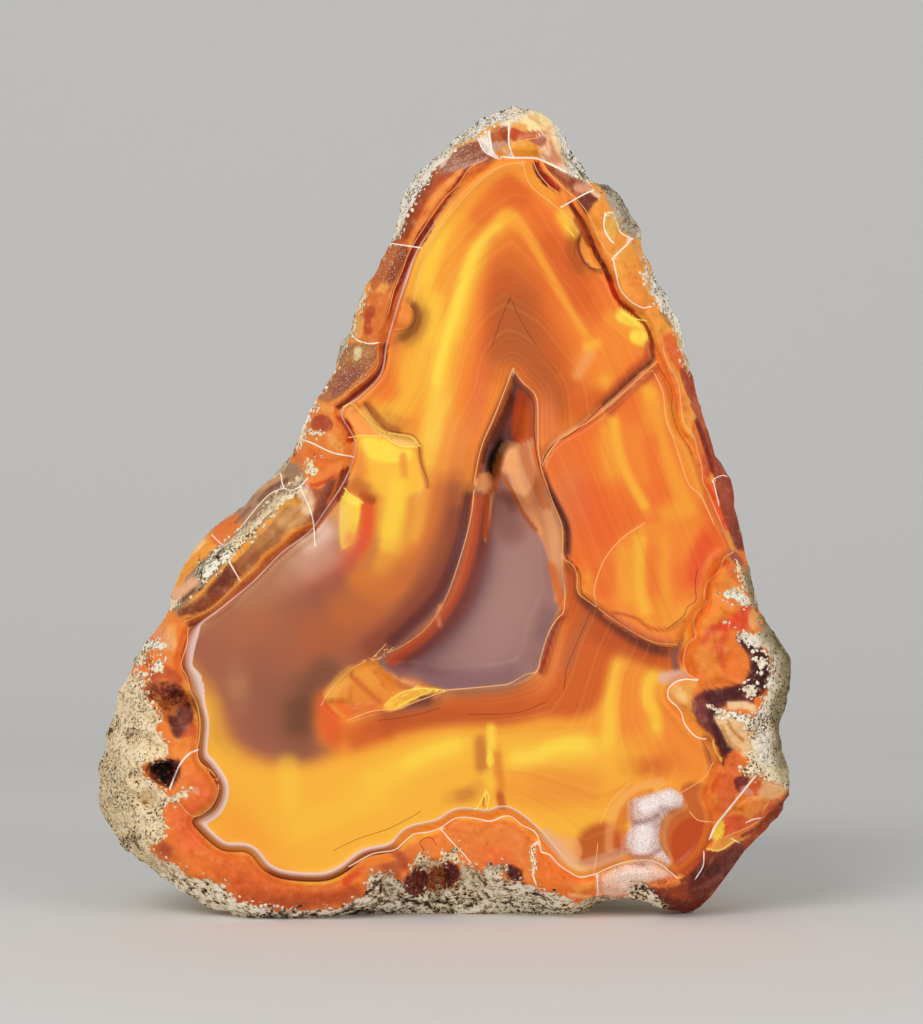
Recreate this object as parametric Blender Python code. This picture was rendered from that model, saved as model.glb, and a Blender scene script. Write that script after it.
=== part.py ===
"""A broken agate nodule that stands on a small flat of its own rind, its open face towards -Y.

It is one natural piece. The face is a slab of banded stone inside a scalloped wall, a broken orange
rim stands round it, and the rough rind closes the nodule at its sides and back. Shapes on the face
are laid out on a drawing whose marks are one PIXEL apart, and they are turned into metres here.
"""
import math

import bmesh
import bpy
import numpy as np
from mathutils import Vector, noise

for thing in list(bpy.data.objects):
    bpy.data.objects.remove(thing, do_unlink=True)

MM = 0.001

# Driving dimensions, in metres
HEIGHT = 110 * MM            # from the flat that it stands on to its tip
THICKNESS = 44 * MM          # from the face to the back of the rind
EYE_DISTANCE = 400 * MM      # the drawing is the face as seen from here
WALL_RISE = 0.9 * MM         # the rim above the face, outside the scalloped wall
WALL_GROOVE = 0.7 * MM
WALL_BEAD = 0.35 * MM
HOLLOW_DEPTH = 6.5 * MM      # the floor of the central hollow
HOLLOW_THROAT = 10 * MM      # the dark hole above its bridge
PLATE_RISE = 1.5 * MM        # the broken plate at the right
RIND_LUMP = 0.9 * MM
RIND_GRAIN = 0.4 * MM
FOOT_FRONT = 10 * MM         # the flat that it stands on, front to back
FOOT_BACK = 34 * MM
FOOT_HALF_WIDTH = 14 * MM
FOOT_PUSH = 3.2 * MM         # how far the rind swells below the cut that makes the flat

# The drawing of the face: x runs right and y runs down
DRAWING_TOP = 104
DRAWING_BOTTOM = 921
DRAWING_MIDDLE = 445.5
DRAWING_EYE = (461.5, 512)   # the mark straight in front of the eye
DRAWING_HUB = (452, 610)     # the mark that the outline is seen from all round
PIXEL = HEIGHT / (DRAWING_BOTTOM - DRAWING_TOP)

MESH_CUTS = 119              # the body before its faces are thinned
FACE_BUDGET = 9400

OUTLINE = [
    (512, 104), (540, 112), (562, 129), (570, 148), (584, 168), (588, 180), (606, 186), (624, 206), (637, 230),
    (642, 250), (657, 279), (672, 307), (682, 334), (690, 360), (696, 392), (708, 432), (715, 458), (729, 480),
    (734, 510), (743, 545), (752, 585), (760, 616), (783, 648), (789, 664), (786, 698), (778, 718), (780, 745),
    (786, 772), (787, 794), (768, 818), (745, 850), (720, 884), (700, 904), (686, 911), (660, 908), (630, 898),
    (596, 896), (560, 908), (520, 903), (480, 902), (440, 904), (400, 905), (360, 911), (325, 920), (285, 921),
    (245, 918), (212, 909), (182, 894), (150, 868), (122, 843), (106, 816), (102, 790), (104, 750), (114, 718),
    (122, 690), (136, 664), (150, 640), (168, 612), (172, 592), (186, 562), (206, 538), (236, 516), (258, 489),
    (284, 470), (298, 442), (311, 408), (332, 375), (350, 336), (360, 300), (378, 268), (394, 232), (404, 196),
    (416, 173), (446, 145), (476, 119)]

RIND_EDGE = [
    (510, 123), (492, 130), (470, 143), (447, 160), (424, 185), (410, 210), (390, 248), (371, 280), (362, 305),
    (352, 336), (337, 370), (314, 396), (300, 420), (290, 452), (272, 488), (246, 512), (216, 540), (186, 574),
    (170, 604), (150, 640), (138, 668), (152, 688), (156, 712), (168, 735), (172, 756), (148, 765), (164, 786),
    (168, 810), (160, 840), (178, 860), (190, 874), (222, 878), (250, 902), (300, 904), (345, 904), (368, 896),
    (374, 880), (408, 868), (435, 860), (456, 848), (480, 868), (502, 863), (532, 882), (572, 898), (602, 904),
    (628, 892), (646, 886), (668, 912), (700, 916), (745, 872), (796, 800), (764, 776), (742, 770), (755, 748),
    (744, 722), (754, 700), (745, 690), (764, 682), (758, 656), (738, 634), (757, 620), (730, 592), (744, 578),
    (732, 548), (722, 510), (708, 470), (698, 428), (690, 396), (682, 360), (672, 326), (655, 290), (640, 262),
    (628, 236), (612, 212), (594, 196), (578, 180), (562, 152), (540, 130)]

WALL = [
    (500, 159), (525, 157), (545, 161), (560, 172), (572, 198), (590, 238), (597, 258), (612, 283), (622, 303),
    (645, 322), (652, 345), (661, 368), (671, 395), (675, 425), (692, 450), (706, 492), (722, 525), (732, 550),
    (718, 564), (708, 582), (704, 602), (693, 622), (692, 640), (684, 658), (690, 673), (672, 683), (668, 697),
    (682, 714), (700, 735), (713, 745), (720, 760), (712, 778), (706, 797), (712, 815), (708, 840), (696, 860),
    (674, 874), (650, 862), (620, 866), (598, 874), (575, 877), (553, 860), (538, 842), (520, 825), (504, 816),
    (488, 820), (460, 818), (440, 829), (412, 836), (396, 850), (366, 857), (344, 873), (322, 881), (285, 879),
    (264, 870), (248, 853), (222, 850), (200, 832), (193, 820), (212, 807), (218, 788), (208, 770), (198, 756),
    (199, 722), (192, 702), (187, 680), (184, 655), (192, 628), (220, 606), (252, 580), (280, 552), (308, 531),
    (324, 510), (346, 475), (354, 442), (340, 412), (360, 394), (380, 372), (386, 340), (400, 292), (412, 258),
    (427, 232), (450, 200), (472, 177)]

HOLLOW = [
    (513, 369), (522, 382), (535, 396), (535, 436), (542, 472), (552, 503), (562, 528), (562, 560), (565, 592),
    (552, 622), (544, 650), (536, 670), (520, 681), (490, 687), (455, 689), (434, 689), (402, 680), (378, 662),
    (390, 650), (426, 626), (448, 590), (464, 545), (474, 500), (481, 450), (500, 412), (509, 388)]
BRIDGE = [(497, 470), (502, 450), (512, 443), (524, 440), (536, 446), (540, 474), (530, 500), (512, 496), (498, 492)]
THROAT = [(488, 468), (490, 452), (499, 438), (504, 446), (497, 458), (494, 476)]

PLATE = [
    (655, 362), (640, 375), (610, 403), (590, 420), (560, 438), (547, 452), (541, 472), (552, 500), (564, 525),
    (565, 556), (577, 574), (578, 592), (596, 605), (625, 628), (655, 643), (676, 645), (688, 622), (704, 602),
    (708, 582), (718, 564), (732, 550), (722, 525), (706, 492), (692, 450), (675, 425), (671, 395), (661, 368)]
SHELL = [(645, 522), (618, 540), (602, 562), (592, 597), (596, 605), (625, 628), (655, 643), (676, 645), (672, 610),
         (668, 560)]

CHIP = [(342, 410), (357, 402), (370, 418), (390, 431), (412, 436), (421, 450), (427, 482), (400, 520), (352, 512),
        (344, 460)]
SCAR = [(322, 704), (330, 684), (352, 666), (376, 658), (398, 680), (425, 684), (445, 692), (418, 702), (375, 714),
        (345, 722)]
LEDGE = [(150, 640), (170, 600), (200, 572), (232, 544), (262, 518), (284, 496), (304, 478), (290, 446), (236, 500),
         (160, 566)]
LEDGE_STEP = [(196, 616), (222, 590), (252, 560), (280, 534), (302, 510), (312, 486), (304, 478), (262, 518),
              (200, 572), (172, 606), (178, 622)]
CORNER = [(756, 770), (740, 790), (717, 820), (708, 840), (696, 864), (664, 882), (662, 930), (720, 930), (810, 810)]
CAP = [(492, 158), (488, 136), (502, 118), (520, 104), (560, 112), (590, 165), (578, 188), (560, 168), (530, 156)]

# Marks and radii of the round growths, all on the drawing
DRUSE = [((668, 799), 13), ((646, 813), 17), ((641, 843), 20), ((656, 858), 13), ((660, 872), 10)]
NODULE = ((403, 317), 10)
CRESCENT = ((588, 250), 15)
LOBES = [((194, 788), 24), ((680, 694), 16), ((718, 800), 16), ((716, 566), 20), ((706, 612), 18), ((500, 838), 30),
         ((440, 852), 20), ((365, 876), 22), ((232, 864), 20), ((330, 438), 24), ((364, 340), 20), ((630, 298), 18),
         ((608, 210), 18), ((700, 650), 22), ((600, 886), 16), ((560, 888), 18), ((560, 145), 14)]
# Marks, radii and depths of the pockets in the rim and in the rind
POCKETS = [((178, 708), 18, 2.6), ((163, 773), 13, 3.2), ((432, 878), 20, 2.6), ((722, 700), 22, 2.2),
           ((742, 664), 20, 2.0), ((742, 742), 14, 2.2), ((392, 884), 12, 1.6), ((470, 880), 14, 1.8),
           ((730, 622), 10, 1.2), ((150, 800), 10, 1.4), ((134, 738), 8, 1.2), ((300, 912), 10, 0.9)]


def place(marks):
    """Marks of the drawing as x and z in metres."""
    marks = np.array(marks, float).reshape(-1, 2)
    return np.stack([(marks[:, 0] - DRAWING_MIDDLE) * PIXEL, (DRAWING_BOTTOM - marks[:, 1]) * PIXEL], axis=1)


def loop(marks, steps=5):
    """A closed smooth line through the marks."""
    p = place(marks)
    before, after, beyond = np.roll(p, 1, 0), np.roll(p, -1, 0), np.roll(p, -2, 0)
    rows = []
    for t in np.arange(steps) / steps:
        rows.append(0.5 * (2 * p + (after - before) * t + (2 * before - 5 * p + 4 * after - beyond) * t ** 2
                           + (3 * p - before - 3 * after + beyond) * t ** 3))
    return np.stack(rows, axis=1).reshape(-1, 2)


def reach_in(spots, line):
    """How far each spot lies inside a closed line, and outside it as a number below zero."""
    near = np.full(len(spots), np.inf)
    within = np.zeros(len(spots), bool)
    for a, b in zip(line, np.roll(line, -1, axis=0)):
        side = b - a
        share = np.clip((spots - a) @ side / max(side @ side, 1e-18), 0, 1)
        near = np.minimum(near, np.linalg.norm(spots - a - share[:, None] * side, axis=1))
        if a[1] != b[1]:
            level = (a[1] > spots[:, 1]) != (b[1] > spots[:, 1])
            within ^= level & (spots[:, 0] < side[0] * (spots[:, 1] - a[1]) / side[1] + a[0])
    return np.where(within, near, -near)


def ease(value, low, high):
    """A smooth step from 0 at low to 1 at high."""
    t = np.clip((value - low) / (high - low), 0, 1)
    return t * t * (3 - 2 * t)


def rough(points, size, octaves=3):
    """Smooth noise of the given grain, about -1 to 1 at each point."""
    return np.array([noise.fractal(Vector(p) / size, 1.0, 2.0, octaves) for p in points])


def dome(spots, centre, radius):
    """A round cap, 1 at its middle and 0 at its rim."""
    away = np.linalg.norm(spots - place(centre)[0], axis=1) / (radius * PIXEL)
    return np.sqrt(np.clip(1 - away ** 2, 0, 1))


def facets(spots, low, high, count, seed, tilt):
    """Broken flakes: each spot takes the tilted plane of the nearest of a few scattered marks."""
    draw = np.random.default_rng(seed)
    seats = place(draw.uniform(low, high, (count, 2)))
    slopes = draw.uniform(-tilt, tilt, (count, 2))
    lifts = draw.uniform(-0.5, 0.5, count) * MM
    own = np.argmin(np.linalg.norm(spots[:, None] - seats[None], axis=2), axis=1)
    return lifts[own] + np.sum((spots - seats[own]) * slopes[own], axis=1)


def face_height(spots):
    """How far the face stands towards -Y at each x and z, and how much of the rind each spot has."""
    flat = np.column_stack([spots[:, 0], np.zeros(len(spots)), spots[:, 1]])
    wall = reach_in(spots, loop(WALL))
    rind = -reach_in(spots, loop(RIND_EDGE))
    edge = reach_in(spots, loop(OUTLINE))
    rim = ease(-wall, 0, 1.2 * MM)
    height = 0.35 * MM * rough(flat, 30 * MM)

    # The scalloped wall: a bead inside it, a groove on it, and the rim outside, broken and lumpy
    height += WALL_BEAD * np.exp(-((wall - 0.9 * MM) / (0.6 * MM)) ** 2)
    height -= WALL_GROOVE * np.exp(-((wall + 0.3 * MM) / (0.5 * MM)) ** 2)
    height += rim * (WALL_RISE + 0.45 * MM * rough(flat, 4 * MM))
    for centre, radius in LOBES:
        height += rim * 1.1 * MM * dome(spots, centre, radius)

    # The rind falls away from the rim to the outline
    shell = ease(rind, -0.2 * MM, 0.8 * MM)
    height -= 0.8 * np.clip(rind, 0, None) + rim * 2.2 * MM * ease(-edge, -4 * MM, 0)
    height -= 1.6 * MM * ease(-edge, -1.2 * MM, 0)
    for centre, radius, depth in POCKETS:
        height -= depth * MM * ease(dome(spots, centre, radius), 0, 0.8)

    # The central hollow, with the bridge that crosses it and the dark throat above the bridge
    hollow = reach_in(spots, loop(HOLLOW))
    bridge = reach_in(spots, loop(BRIDGE))
    throat = reach_in(spots, loop(THROAT))
    floor = HOLLOW_DEPTH * (0.35 * ease(hollow, 0, 0.8 * MM) + 0.65 * ease(hollow, 0, 3.2 * MM))
    floor -= ease(bridge, -0.8 * MM, 0.8 * MM) * 0.62 * floor
    height -= floor + (HOLLOW_THROAT - HOLLOW_DEPTH) * ease(throat, -0.8 * MM, 0.6 * MM)

    # The plate that stands proud at the right, and the shell-shaped break in it
    plate = reach_in(spots, loop(PLATE))
    height += PLATE_RISE * ease(plate, -0.1 * MM, 0.7 * MM) * (1 - rim)
    height -= 0.6 * MM * ease(reach_in(spots, loop(SHELL)), 0, 5 * MM)

    # Shallow chips in the face, the left ledge and its step
    chip = reach_in(spots, loop(CHIP))
    below = ease(-spots[:, 1], -place((0, 430))[0, 1], -place((0, 520))[0, 1])
    height -= 1.1 * MM * ease(chip, 0, 0.7 * MM) * (1 - below)
    scar = reach_in(spots, loop(SCAR))
    height -= ease(scar, 0, 0.9 * MM) * (1.0 * MM + facets(spots, (325, 655), (445, 720), 12, 5, 0.25))
    height -= 4.2 * MM * ease(reach_in(spots, loop(LEDGE)), 0, 1.0 * MM)
    height += 0.5 * MM * ease(reach_in(spots, loop(LEDGE_STEP)), 0, 0.7 * MM)

    # The broken corner at the lower right and the blocky cap
    corner = reach_in(spots, loop(CORNER))
    height -= ease(corner, 0, 1 * MM) * (0.9 * corner - facets(spots, (690, 770), (790, 910), 16, 3, 0.45))
    cap = ease(reach_in(spots, loop(CAP)), 0, 0.8 * MM)
    height += cap * facets(spots, (490, 104), (590, 190), 18, 8, 0.5)

    # Round growths
    druse = np.max([dome(spots, centre, radius) * radius for centre, radius in DRUSE], axis=0)
    height += 0.85 * PIXEL * druse
    height += 1.1 * MM * dome(spots, *NODULE)
    height -= 0.8 * MM * dome(spots, *CRESCENT)
    return height, shell


def outline_radius(angles, hub):
    """How far the outline lies from the hub in each direction, exactly and as a calm average."""
    ring = loop(OUTLINE) - hub
    turn = np.arctan2(ring[:, 1], ring[:, 0])
    order = np.argsort(turn)
    turn, reach = turn[order], np.linalg.norm(ring, axis=1)[order]
    exact = np.interp(angles, turn, reach, period=2 * math.pi)
    around = np.radians(np.arange(-16, 17, 4))
    calm = np.mean([np.interp(angles + step, turn, reach, period=2 * math.pi) for step in around], axis=0)
    return exact, calm


def shape_body(cube):
    """Turns the points of a cut cube into the nodule: its front side is the face, the rest is rind."""
    a, b, c = cube.T
    level = np.maximum(np.abs(a), np.abs(c))
    wide = np.abs(a) >= np.abs(c)
    safe_a, safe_c = np.where(wide & (a != 0), a, 1), np.where(~wide, c, 1)
    angle = np.where(wide, math.pi / 4 * c / safe_a + np.where(a < 0, math.pi, 0),
                     math.pi / 2 - math.pi / 4 * a / safe_c + np.where(c < 0, math.pi, 0))
    hub = place(DRAWING_HUB)[0]
    out = np.stack([np.cos(angle), np.sin(angle)], axis=1)
    front = b < -1 + 1e-6

    # Round the nodule from the outline to the middle of the back, boxier at its lower side
    shoulder = math.radians(50)
    swing = np.where(b < 1 - 1e-6, shoulder * (b + 1) / 2, shoulder + (1 - level) * (math.pi / 2 - shoulder))
    boxy = 0.75 - 0.22 * np.clip(-out[:, 1], 0, 1)
    share = np.where(front, level, np.clip(np.cos(swing), 0, 1) ** boxy)
    back = np.where(front, 0, np.sin(swing))
    exact, calm = outline_radius(angle, hub)
    reach = exact + (calm - exact) * ease(back, 0, 0.45)
    spots = hub + out * (share * reach)[:, None]

    ring = hub + out * exact[:, None]
    height, shell = face_height(np.where(front[:, None], spots, ring))
    shell = np.where(front, shell, 1.0)
    y = -height * (1 - back) + THICKNESS * back

    # The drawing is seen from the eye, so what lies deeper is drawn smaller than it is
    eye = place(DRAWING_EYE)[0]
    spread = 1 - height / EYE_DISTANCE
    spots = eye + (spots - eye) * spread[:, None]
    body = np.column_stack([spots[:, 0], y, spots[:, 1]])

    # The flat that it stands on is cut from a swelling of the rind
    swell = ease(y, FOOT_FRONT - 6 * MM, FOOT_FRONT) * (1 - ease(y, FOOT_BACK - 2 * MM, FOOT_BACK + 8 * MM))
    swell *= 1 - ease(np.abs(body[:, 0] - place((455, 0))[0, 0]), FOOT_HALF_WIDTH, FOOT_HALF_WIDTH + 14 * MM)
    body[:, 2] -= FOOT_PUSH * swell * (1 - ease(body[:, 2], 0, 16 * MM))
    return body, shell


def roughen(body, normals, shell):
    """Lumps, dents and grain of the rind, along the normals."""
    bulge = rough(body + 0.05, 17 * MM, 2) * 1.6 * MM * shell
    lump = rough(body, 7 * MM, 2) * RIND_LUMP * shell
    grain = rough(body, 2.2 * MM, 2) * RIND_GRAIN * shell
    calm = 0.25 + 0.75 * ease(body[:, 1], 2 * MM, 16 * MM)
    return body + normals * (bulge * calm + lump * calm + grain)[:, None]


def build_agate(collection):
    mesh = bpy.data.meshes.new("agate")
    agate = bpy.data.objects.new("agate", mesh)
    collection.objects.link(agate)
    shape = bmesh.new()
    bmesh.ops.create_cube(shape, size=2)
    bmesh.ops.subdivide_edges(shape, edges=shape.edges, cuts=MESH_CUTS, use_grid_fill=True)
    shape.to_mesh(mesh)

    points = np.empty(len(mesh.vertices) * 3)
    mesh.vertices.foreach_get("co", points)
    body, shell = shape_body(points.reshape(-1, 3))
    mesh.vertices.foreach_set("co", body.ravel())
    mesh.update()
    normals = np.empty(len(mesh.vertices) * 3)
    mesh.vertices.foreach_get("normal", normals)
    body = roughen(body, normals.reshape(-1, 3), shell)
    mesh.vertices.foreach_set("co", body.ravel())
    mesh.update()

    thin = agate.modifiers.new("thin", "DECIMATE")
    thin.ratio = FACE_BUDGET / (2 * len(mesh.polygons))
    bpy.context.view_layer.update()
    thinned = bpy.data.meshes.new_from_object(agate.evaluated_get(bpy.context.evaluated_depsgraph_get()))
    agate.modifiers.clear()
    shape.clear()
    shape.from_mesh(thinned)

    # The stone stands on this cut
    bmesh.ops.bisect_plane(shape, geom=shape.verts[:] + shape.edges[:] + shape.faces[:], dist=1e-6,
                           plane_co=(0, 0, 0), plane_no=(0, 0, 1), clear_inner=True)
    bmesh.ops.holes_fill(shape, edges=[e for e in shape.edges if e.is_boundary])
    bmesh.ops.triangulate(shape, faces=shape.faces[:])
    low = np.min([v.co for v in shape.verts], axis=0)
    high = np.max([v.co for v in shape.verts], axis=0)
    middle = (low + high) / 2
    bmesh.ops.translate(shape, verts=shape.verts, vec=(-middle[0], -middle[1], 0))
    bmesh.ops.recalc_face_normals(shape, faces=shape.faces)
    shape.to_mesh(mesh)
    shape.free()
    bpy.data.meshes.remove(thinned)
    return agate


def stone_material():
    stone = bpy.data.materials.new("banded_stone")
    stone.use_nodes = True
    shader = stone.node_tree.nodes["Principled BSDF"]
    shader.inputs["Base Color"].default_value = (0.78, 0.27, 0.05, 1)
    shader.inputs["Roughness"].default_value = 0.3
    shader.inputs["Metallic"].default_value = 0.0
    return stone


parts = bpy.data.collections.new("agate")
bpy.context.scene.collection.children.link(parts)
build_agate(parts).data.materials.append(stone_material())
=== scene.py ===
"""A broken agate nodule that stands on a small flat of its own rind, its open face towards -Y.

The stone is one piece. Its shapes and stains, with painted shade and painted highlights, are laid out on a drawing
of the face whose marks are one PIXEL apart, x to the right and y down, as seen from EYE_DISTANCE in front of it.
"""
import math

import bpy
import numpy as np
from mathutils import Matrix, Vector, noise


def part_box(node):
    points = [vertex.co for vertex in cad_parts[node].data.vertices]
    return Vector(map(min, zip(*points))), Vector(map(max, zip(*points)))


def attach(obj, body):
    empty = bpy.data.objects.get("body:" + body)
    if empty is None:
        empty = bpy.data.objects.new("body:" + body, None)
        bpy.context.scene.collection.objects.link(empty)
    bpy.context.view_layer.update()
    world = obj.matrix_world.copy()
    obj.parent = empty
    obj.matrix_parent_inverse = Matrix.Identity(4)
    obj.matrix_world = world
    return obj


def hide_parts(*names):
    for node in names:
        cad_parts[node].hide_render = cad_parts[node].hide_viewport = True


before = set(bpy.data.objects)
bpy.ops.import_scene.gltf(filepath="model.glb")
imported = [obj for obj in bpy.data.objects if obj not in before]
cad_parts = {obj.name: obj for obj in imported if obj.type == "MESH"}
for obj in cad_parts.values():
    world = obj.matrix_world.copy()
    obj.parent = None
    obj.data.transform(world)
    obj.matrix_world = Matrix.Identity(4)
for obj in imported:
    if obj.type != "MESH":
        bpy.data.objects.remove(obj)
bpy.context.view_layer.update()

MM = 0.001

# Sizes of the nodule, in metres, as its solid has them
HEIGHT = 110 * MM
THICKNESS = 44 * MM
EYE_DISTANCE = 400 * MM
FOOT_FRONT = 10 * MM
FOOT_BACK = 34 * MM
FOOT_HALF_WIDTH = 14 * MM
FOOT_PUSH = 3.2 * MM

# The drawing of the face
DRAWING_TOP = 104
DRAWING_BOTTOM = 921
DRAWING_MIDDLE = 445.5
DRAWING_HEIGHT = 1024
DRAWING_EYE = (461.5, 512)
DRAWING_HUB = (452, 610)
DRAWING_CORNER = (150, 868)  # where the lower left corner of the net of faces lies on the outline
PIXEL = HEIGHT / (DRAWING_BOTTOM - DRAWING_TOP)

SIDE_CELLS = 68              # the net of faces along each side of the blank
NET_PULL = 0.2               # how much closer the net lies at its rim
NET_ROUNDS = 1500            # how often the net is evened out
NET_CALM = 0.6               # how far it goes towards a slack net
NET_MARGIN = 40              # how many of its columns, at each side, keep to its rim
FRONT_SPLIT = 4              # and how often each of its cells is split on the face

OUTLINE = [
    512, 104, 540, 112, 562, 129, 570, 148, 584, 168, 588, 180, 606, 186, 624, 206, 637, 230, 642, 250, 657, 279,
    672, 307, 682, 334, 690, 360, 696, 392, 708, 432, 715, 458, 729, 480, 734, 510, 743, 545, 752, 585, 760, 616,
    783, 648, 789, 664, 786, 698, 778, 718, 780, 745, 786, 772, 787, 794, 768, 818, 745, 850, 720, 884, 700, 904,
    686, 911, 660, 908, 630, 898, 596, 896, 560, 908, 520, 903, 480, 902, 440, 904, 400, 905, 360, 911, 325, 920,
    285, 921, 245, 918, 212, 909, 182, 894, 150, 868, 122, 843, 106, 816, 102, 790, 104, 750, 114, 718, 122, 690,
    136, 664, 150, 640, 168, 612, 172, 592, 186, 562, 206, 538, 236, 516, 258, 489, 284, 470, 298, 442, 311, 408,
    332, 375, 350, 336, 360, 300, 378, 268, 394, 232, 404, 196, 416, 173, 446, 145, 476, 119]

RIND_EDGE = [
    526, 112, 512, 119, 500, 122, 486, 128, 478, 136, 470, 140, 456, 147, 446, 160, 434, 170, 428, 183, 415, 200,
    408, 214, 397, 240, 387, 244, 383, 252, 377, 264, 367, 280, 367, 300, 358, 314, 355, 331, 346, 348, 340, 362,
    329, 380, 320, 394, 311, 408, 306, 422, 300, 436, 291, 452, 282, 462, 272, 470, 252, 486, 230, 512, 202, 533,
    180, 558, 165, 592, 163, 612, 148, 632, 136, 658, 133, 672, 149, 680, 146, 688, 152, 700, 160, 712, 160, 722,
    158, 730, 166, 740, 171, 756, 150, 762, 143, 770, 152, 779, 163, 787, 168, 793, 171, 801, 164, 812, 167, 828,
    160, 842, 151, 850, 163, 858, 176, 864, 184, 870, 192, 876, 206, 876, 216, 880, 226, 884, 230, 892, 244, 900,
    260, 905, 300, 908, 340, 907, 352, 900, 364, 894, 368, 887, 366, 880, 374, 872, 386, 874, 396, 878, 405, 880,
    412, 864, 413, 855, 422, 851, 430, 857, 440, 856, 448, 850, 455, 842, 459, 850, 461, 861, 468, 864, 476, 868,
    483, 871, 487, 866, 498, 864, 506, 862, 507, 868, 502, 875, 512, 881, 524, 881, 534, 885, 545, 890, 560, 893,
    572, 899, 584, 910, 602, 908, 624, 904, 625, 890, 632, 885, 641, 880, 648, 887, 655, 893, 664, 902, 668, 914,
    704, 916, 748, 874, 798, 806, 794, 794, 778, 787, 768, 780, 757, 777, 748, 776, 741, 770, 746, 762, 745, 752,
    751, 742, 751, 730, 747, 720, 757, 712, 762, 700, 767, 692, 764, 680, 767, 672, 764, 662, 768, 656, 762, 648,
    757, 646, 752, 650, 744, 645, 735, 636, 745, 633, 757, 631, 760, 622, 757, 612, 752, 604, 746, 590, 742, 578,
    745, 566, 754, 560, 752, 545, 744, 512, 738, 482, 722, 456, 714, 430, 704, 392, 698, 376, 690, 374, 687, 364,
    682, 352, 679, 342, 675, 332, 668, 318, 659, 303, 651, 292, 648, 280, 650, 266, 644, 256, 637, 242, 630, 236,
    621, 231, 618, 221, 613, 212, 607, 204, 603, 195, 598, 188, 592, 184, 583, 178, 573, 174, 566, 167, 563, 158,
    561, 148, 557, 138, 556, 128, 550, 119, 542, 112, 534, 109]

WALL = [
    500, 159, 525, 157, 545, 161, 560, 172, 572, 198, 590, 238, 597, 258, 612, 283, 622, 303, 645, 322, 652, 345,
    661, 368, 671, 395, 675, 425, 692, 450, 706, 492, 722, 525, 732, 550, 718, 564, 708, 582, 704, 602, 693, 622,
    692, 640, 684, 658, 690, 673, 672, 683, 668, 697, 682, 714, 700, 735, 713, 745, 720, 760, 712, 778, 706, 797,
    712, 815, 708, 840, 696, 860, 674, 874, 650, 862, 620, 866, 598, 874, 575, 877, 553, 860, 538, 842, 520, 825,
    504, 816, 488, 820, 460, 818, 440, 829, 412, 836, 396, 850, 366, 857, 344, 873, 322, 881, 285, 879, 264, 870,
    248, 853, 222, 850, 200, 832, 193, 820, 212, 807, 218, 788, 208, 770, 198, 756, 199, 722, 193, 702, 188, 682,
    181, 662, 191, 629, 220, 606, 252, 580, 280, 552, 308, 531, 324, 510, 346, 475, 354, 442, 340, 412, 360, 394,
    380, 372, 386, 340, 400, 292, 412, 258, 427, 232, 450, 200, 472, 177]

HOLLOW = [
    513, 369, 522, 382, 535, 396, 535, 436, 542, 472, 552, 503, 562, 528, 562, 560, 565, 592, 552, 622, 544, 650,
    536, 670, 520, 681, 490, 687, 455, 689, 434, 689, 402, 680, 378, 662, 390, 650, 426, 626, 448, 590, 464, 545,
    474, 500, 481, 450, 500, 412, 509, 388]
BRIDGE = [
    497, 470, 502, 450, 512, 443, 524, 440, 536, 446, 540, 474, 530, 500, 512, 496, 498, 492]
THROAT = [
    488, 468, 490, 452, 499, 438, 504, 446, 497, 458, 494, 476]

PLATE = [
    655, 362, 640, 375, 610, 403, 590, 420, 560, 438, 547, 452, 541, 472, 552, 500, 564, 525, 565, 556, 577, 574,
    578, 592, 596, 605, 625, 628, 655, 643, 676, 645, 688, 622, 704, 602, 708, 582, 718, 564, 732, 550, 722, 525,
    706, 492, 692, 450, 675, 425, 671, 395, 661, 368]
SHELL = [
    645, 522, 618, 540, 602, 562, 592, 597, 596, 605, 625, 628, 655, 643, 676, 645, 672, 610, 668, 560]

CHIP = [
    342, 410, 357, 402, 370, 418, 390, 431, 412, 436, 421, 450, 427, 482, 400, 520, 352, 512, 344, 460]
SCAR = [
    322, 704, 330, 684, 352, 666, 376, 658, 398, 680, 425, 684, 445, 692, 418, 702, 375, 714, 345, 722]
LEDGE = [
    150, 640, 170, 600, 200, 572, 232, 544, 262, 518, 284, 496, 304, 478, 290, 446, 236, 500, 160, 566]
LEDGE_STEP = [
    196, 616, 222, 590, 252, 560, 280, 534, 302, 510, 312, 486, 304, 478, 262, 518, 200, 572, 172, 606, 178, 622]
CORNER = [
    756, 770, 740, 790, 717, 820, 708, 840, 696, 864, 664, 882, 662, 930, 720, 930, 810, 810]
CAP = [
    492, 158, 488, 136, 502, 118, 520, 104, 560, 112, 590, 165, 578, 188, 560, 168, 530, 156]

# Marks and radii of the round growths
DRUSE = [((668, 799), 13), ((646, 813), 17), ((641, 843), 20), ((656, 858), 13), ((660, 872), 10)]
NODULE = ((403, 317), 10)
CRESCENT = ((588, 250), 15)
LOBES = [((194, 788), 24), ((680, 694), 16), ((718, 800), 16), ((716, 566), 20), ((706, 612), 18), ((500, 838), 30),
    ((440, 852), 20), ((365, 876), 22), ((232, 864), 20), ((330, 438), 24), ((364, 340), 20), ((630, 298), 18),
    ((608, 210), 18), ((700, 650), 22), ((600, 886), 16), ((560, 888), 18), ((560, 145), 14)]
# Marks, radii and depths of the pockets in the rim and in the rind
POCKETS = [((178, 708), 18, 2.6), ((163, 773), 13, 3.2), ((432, 878), 20, 2.6), ((722, 700), 22, 0.6), ((742, 664),
    20, 0.6), ((742, 742), 14, 0.6), ((392, 884), 12, 1.6), ((470, 880), 14, 1.8), ((730, 622), 10, 0.6), ((150,
    800), 10, 1.4), ((134, 738), 8, 1.2), ((300, 912), 10, 0.9)]

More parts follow.
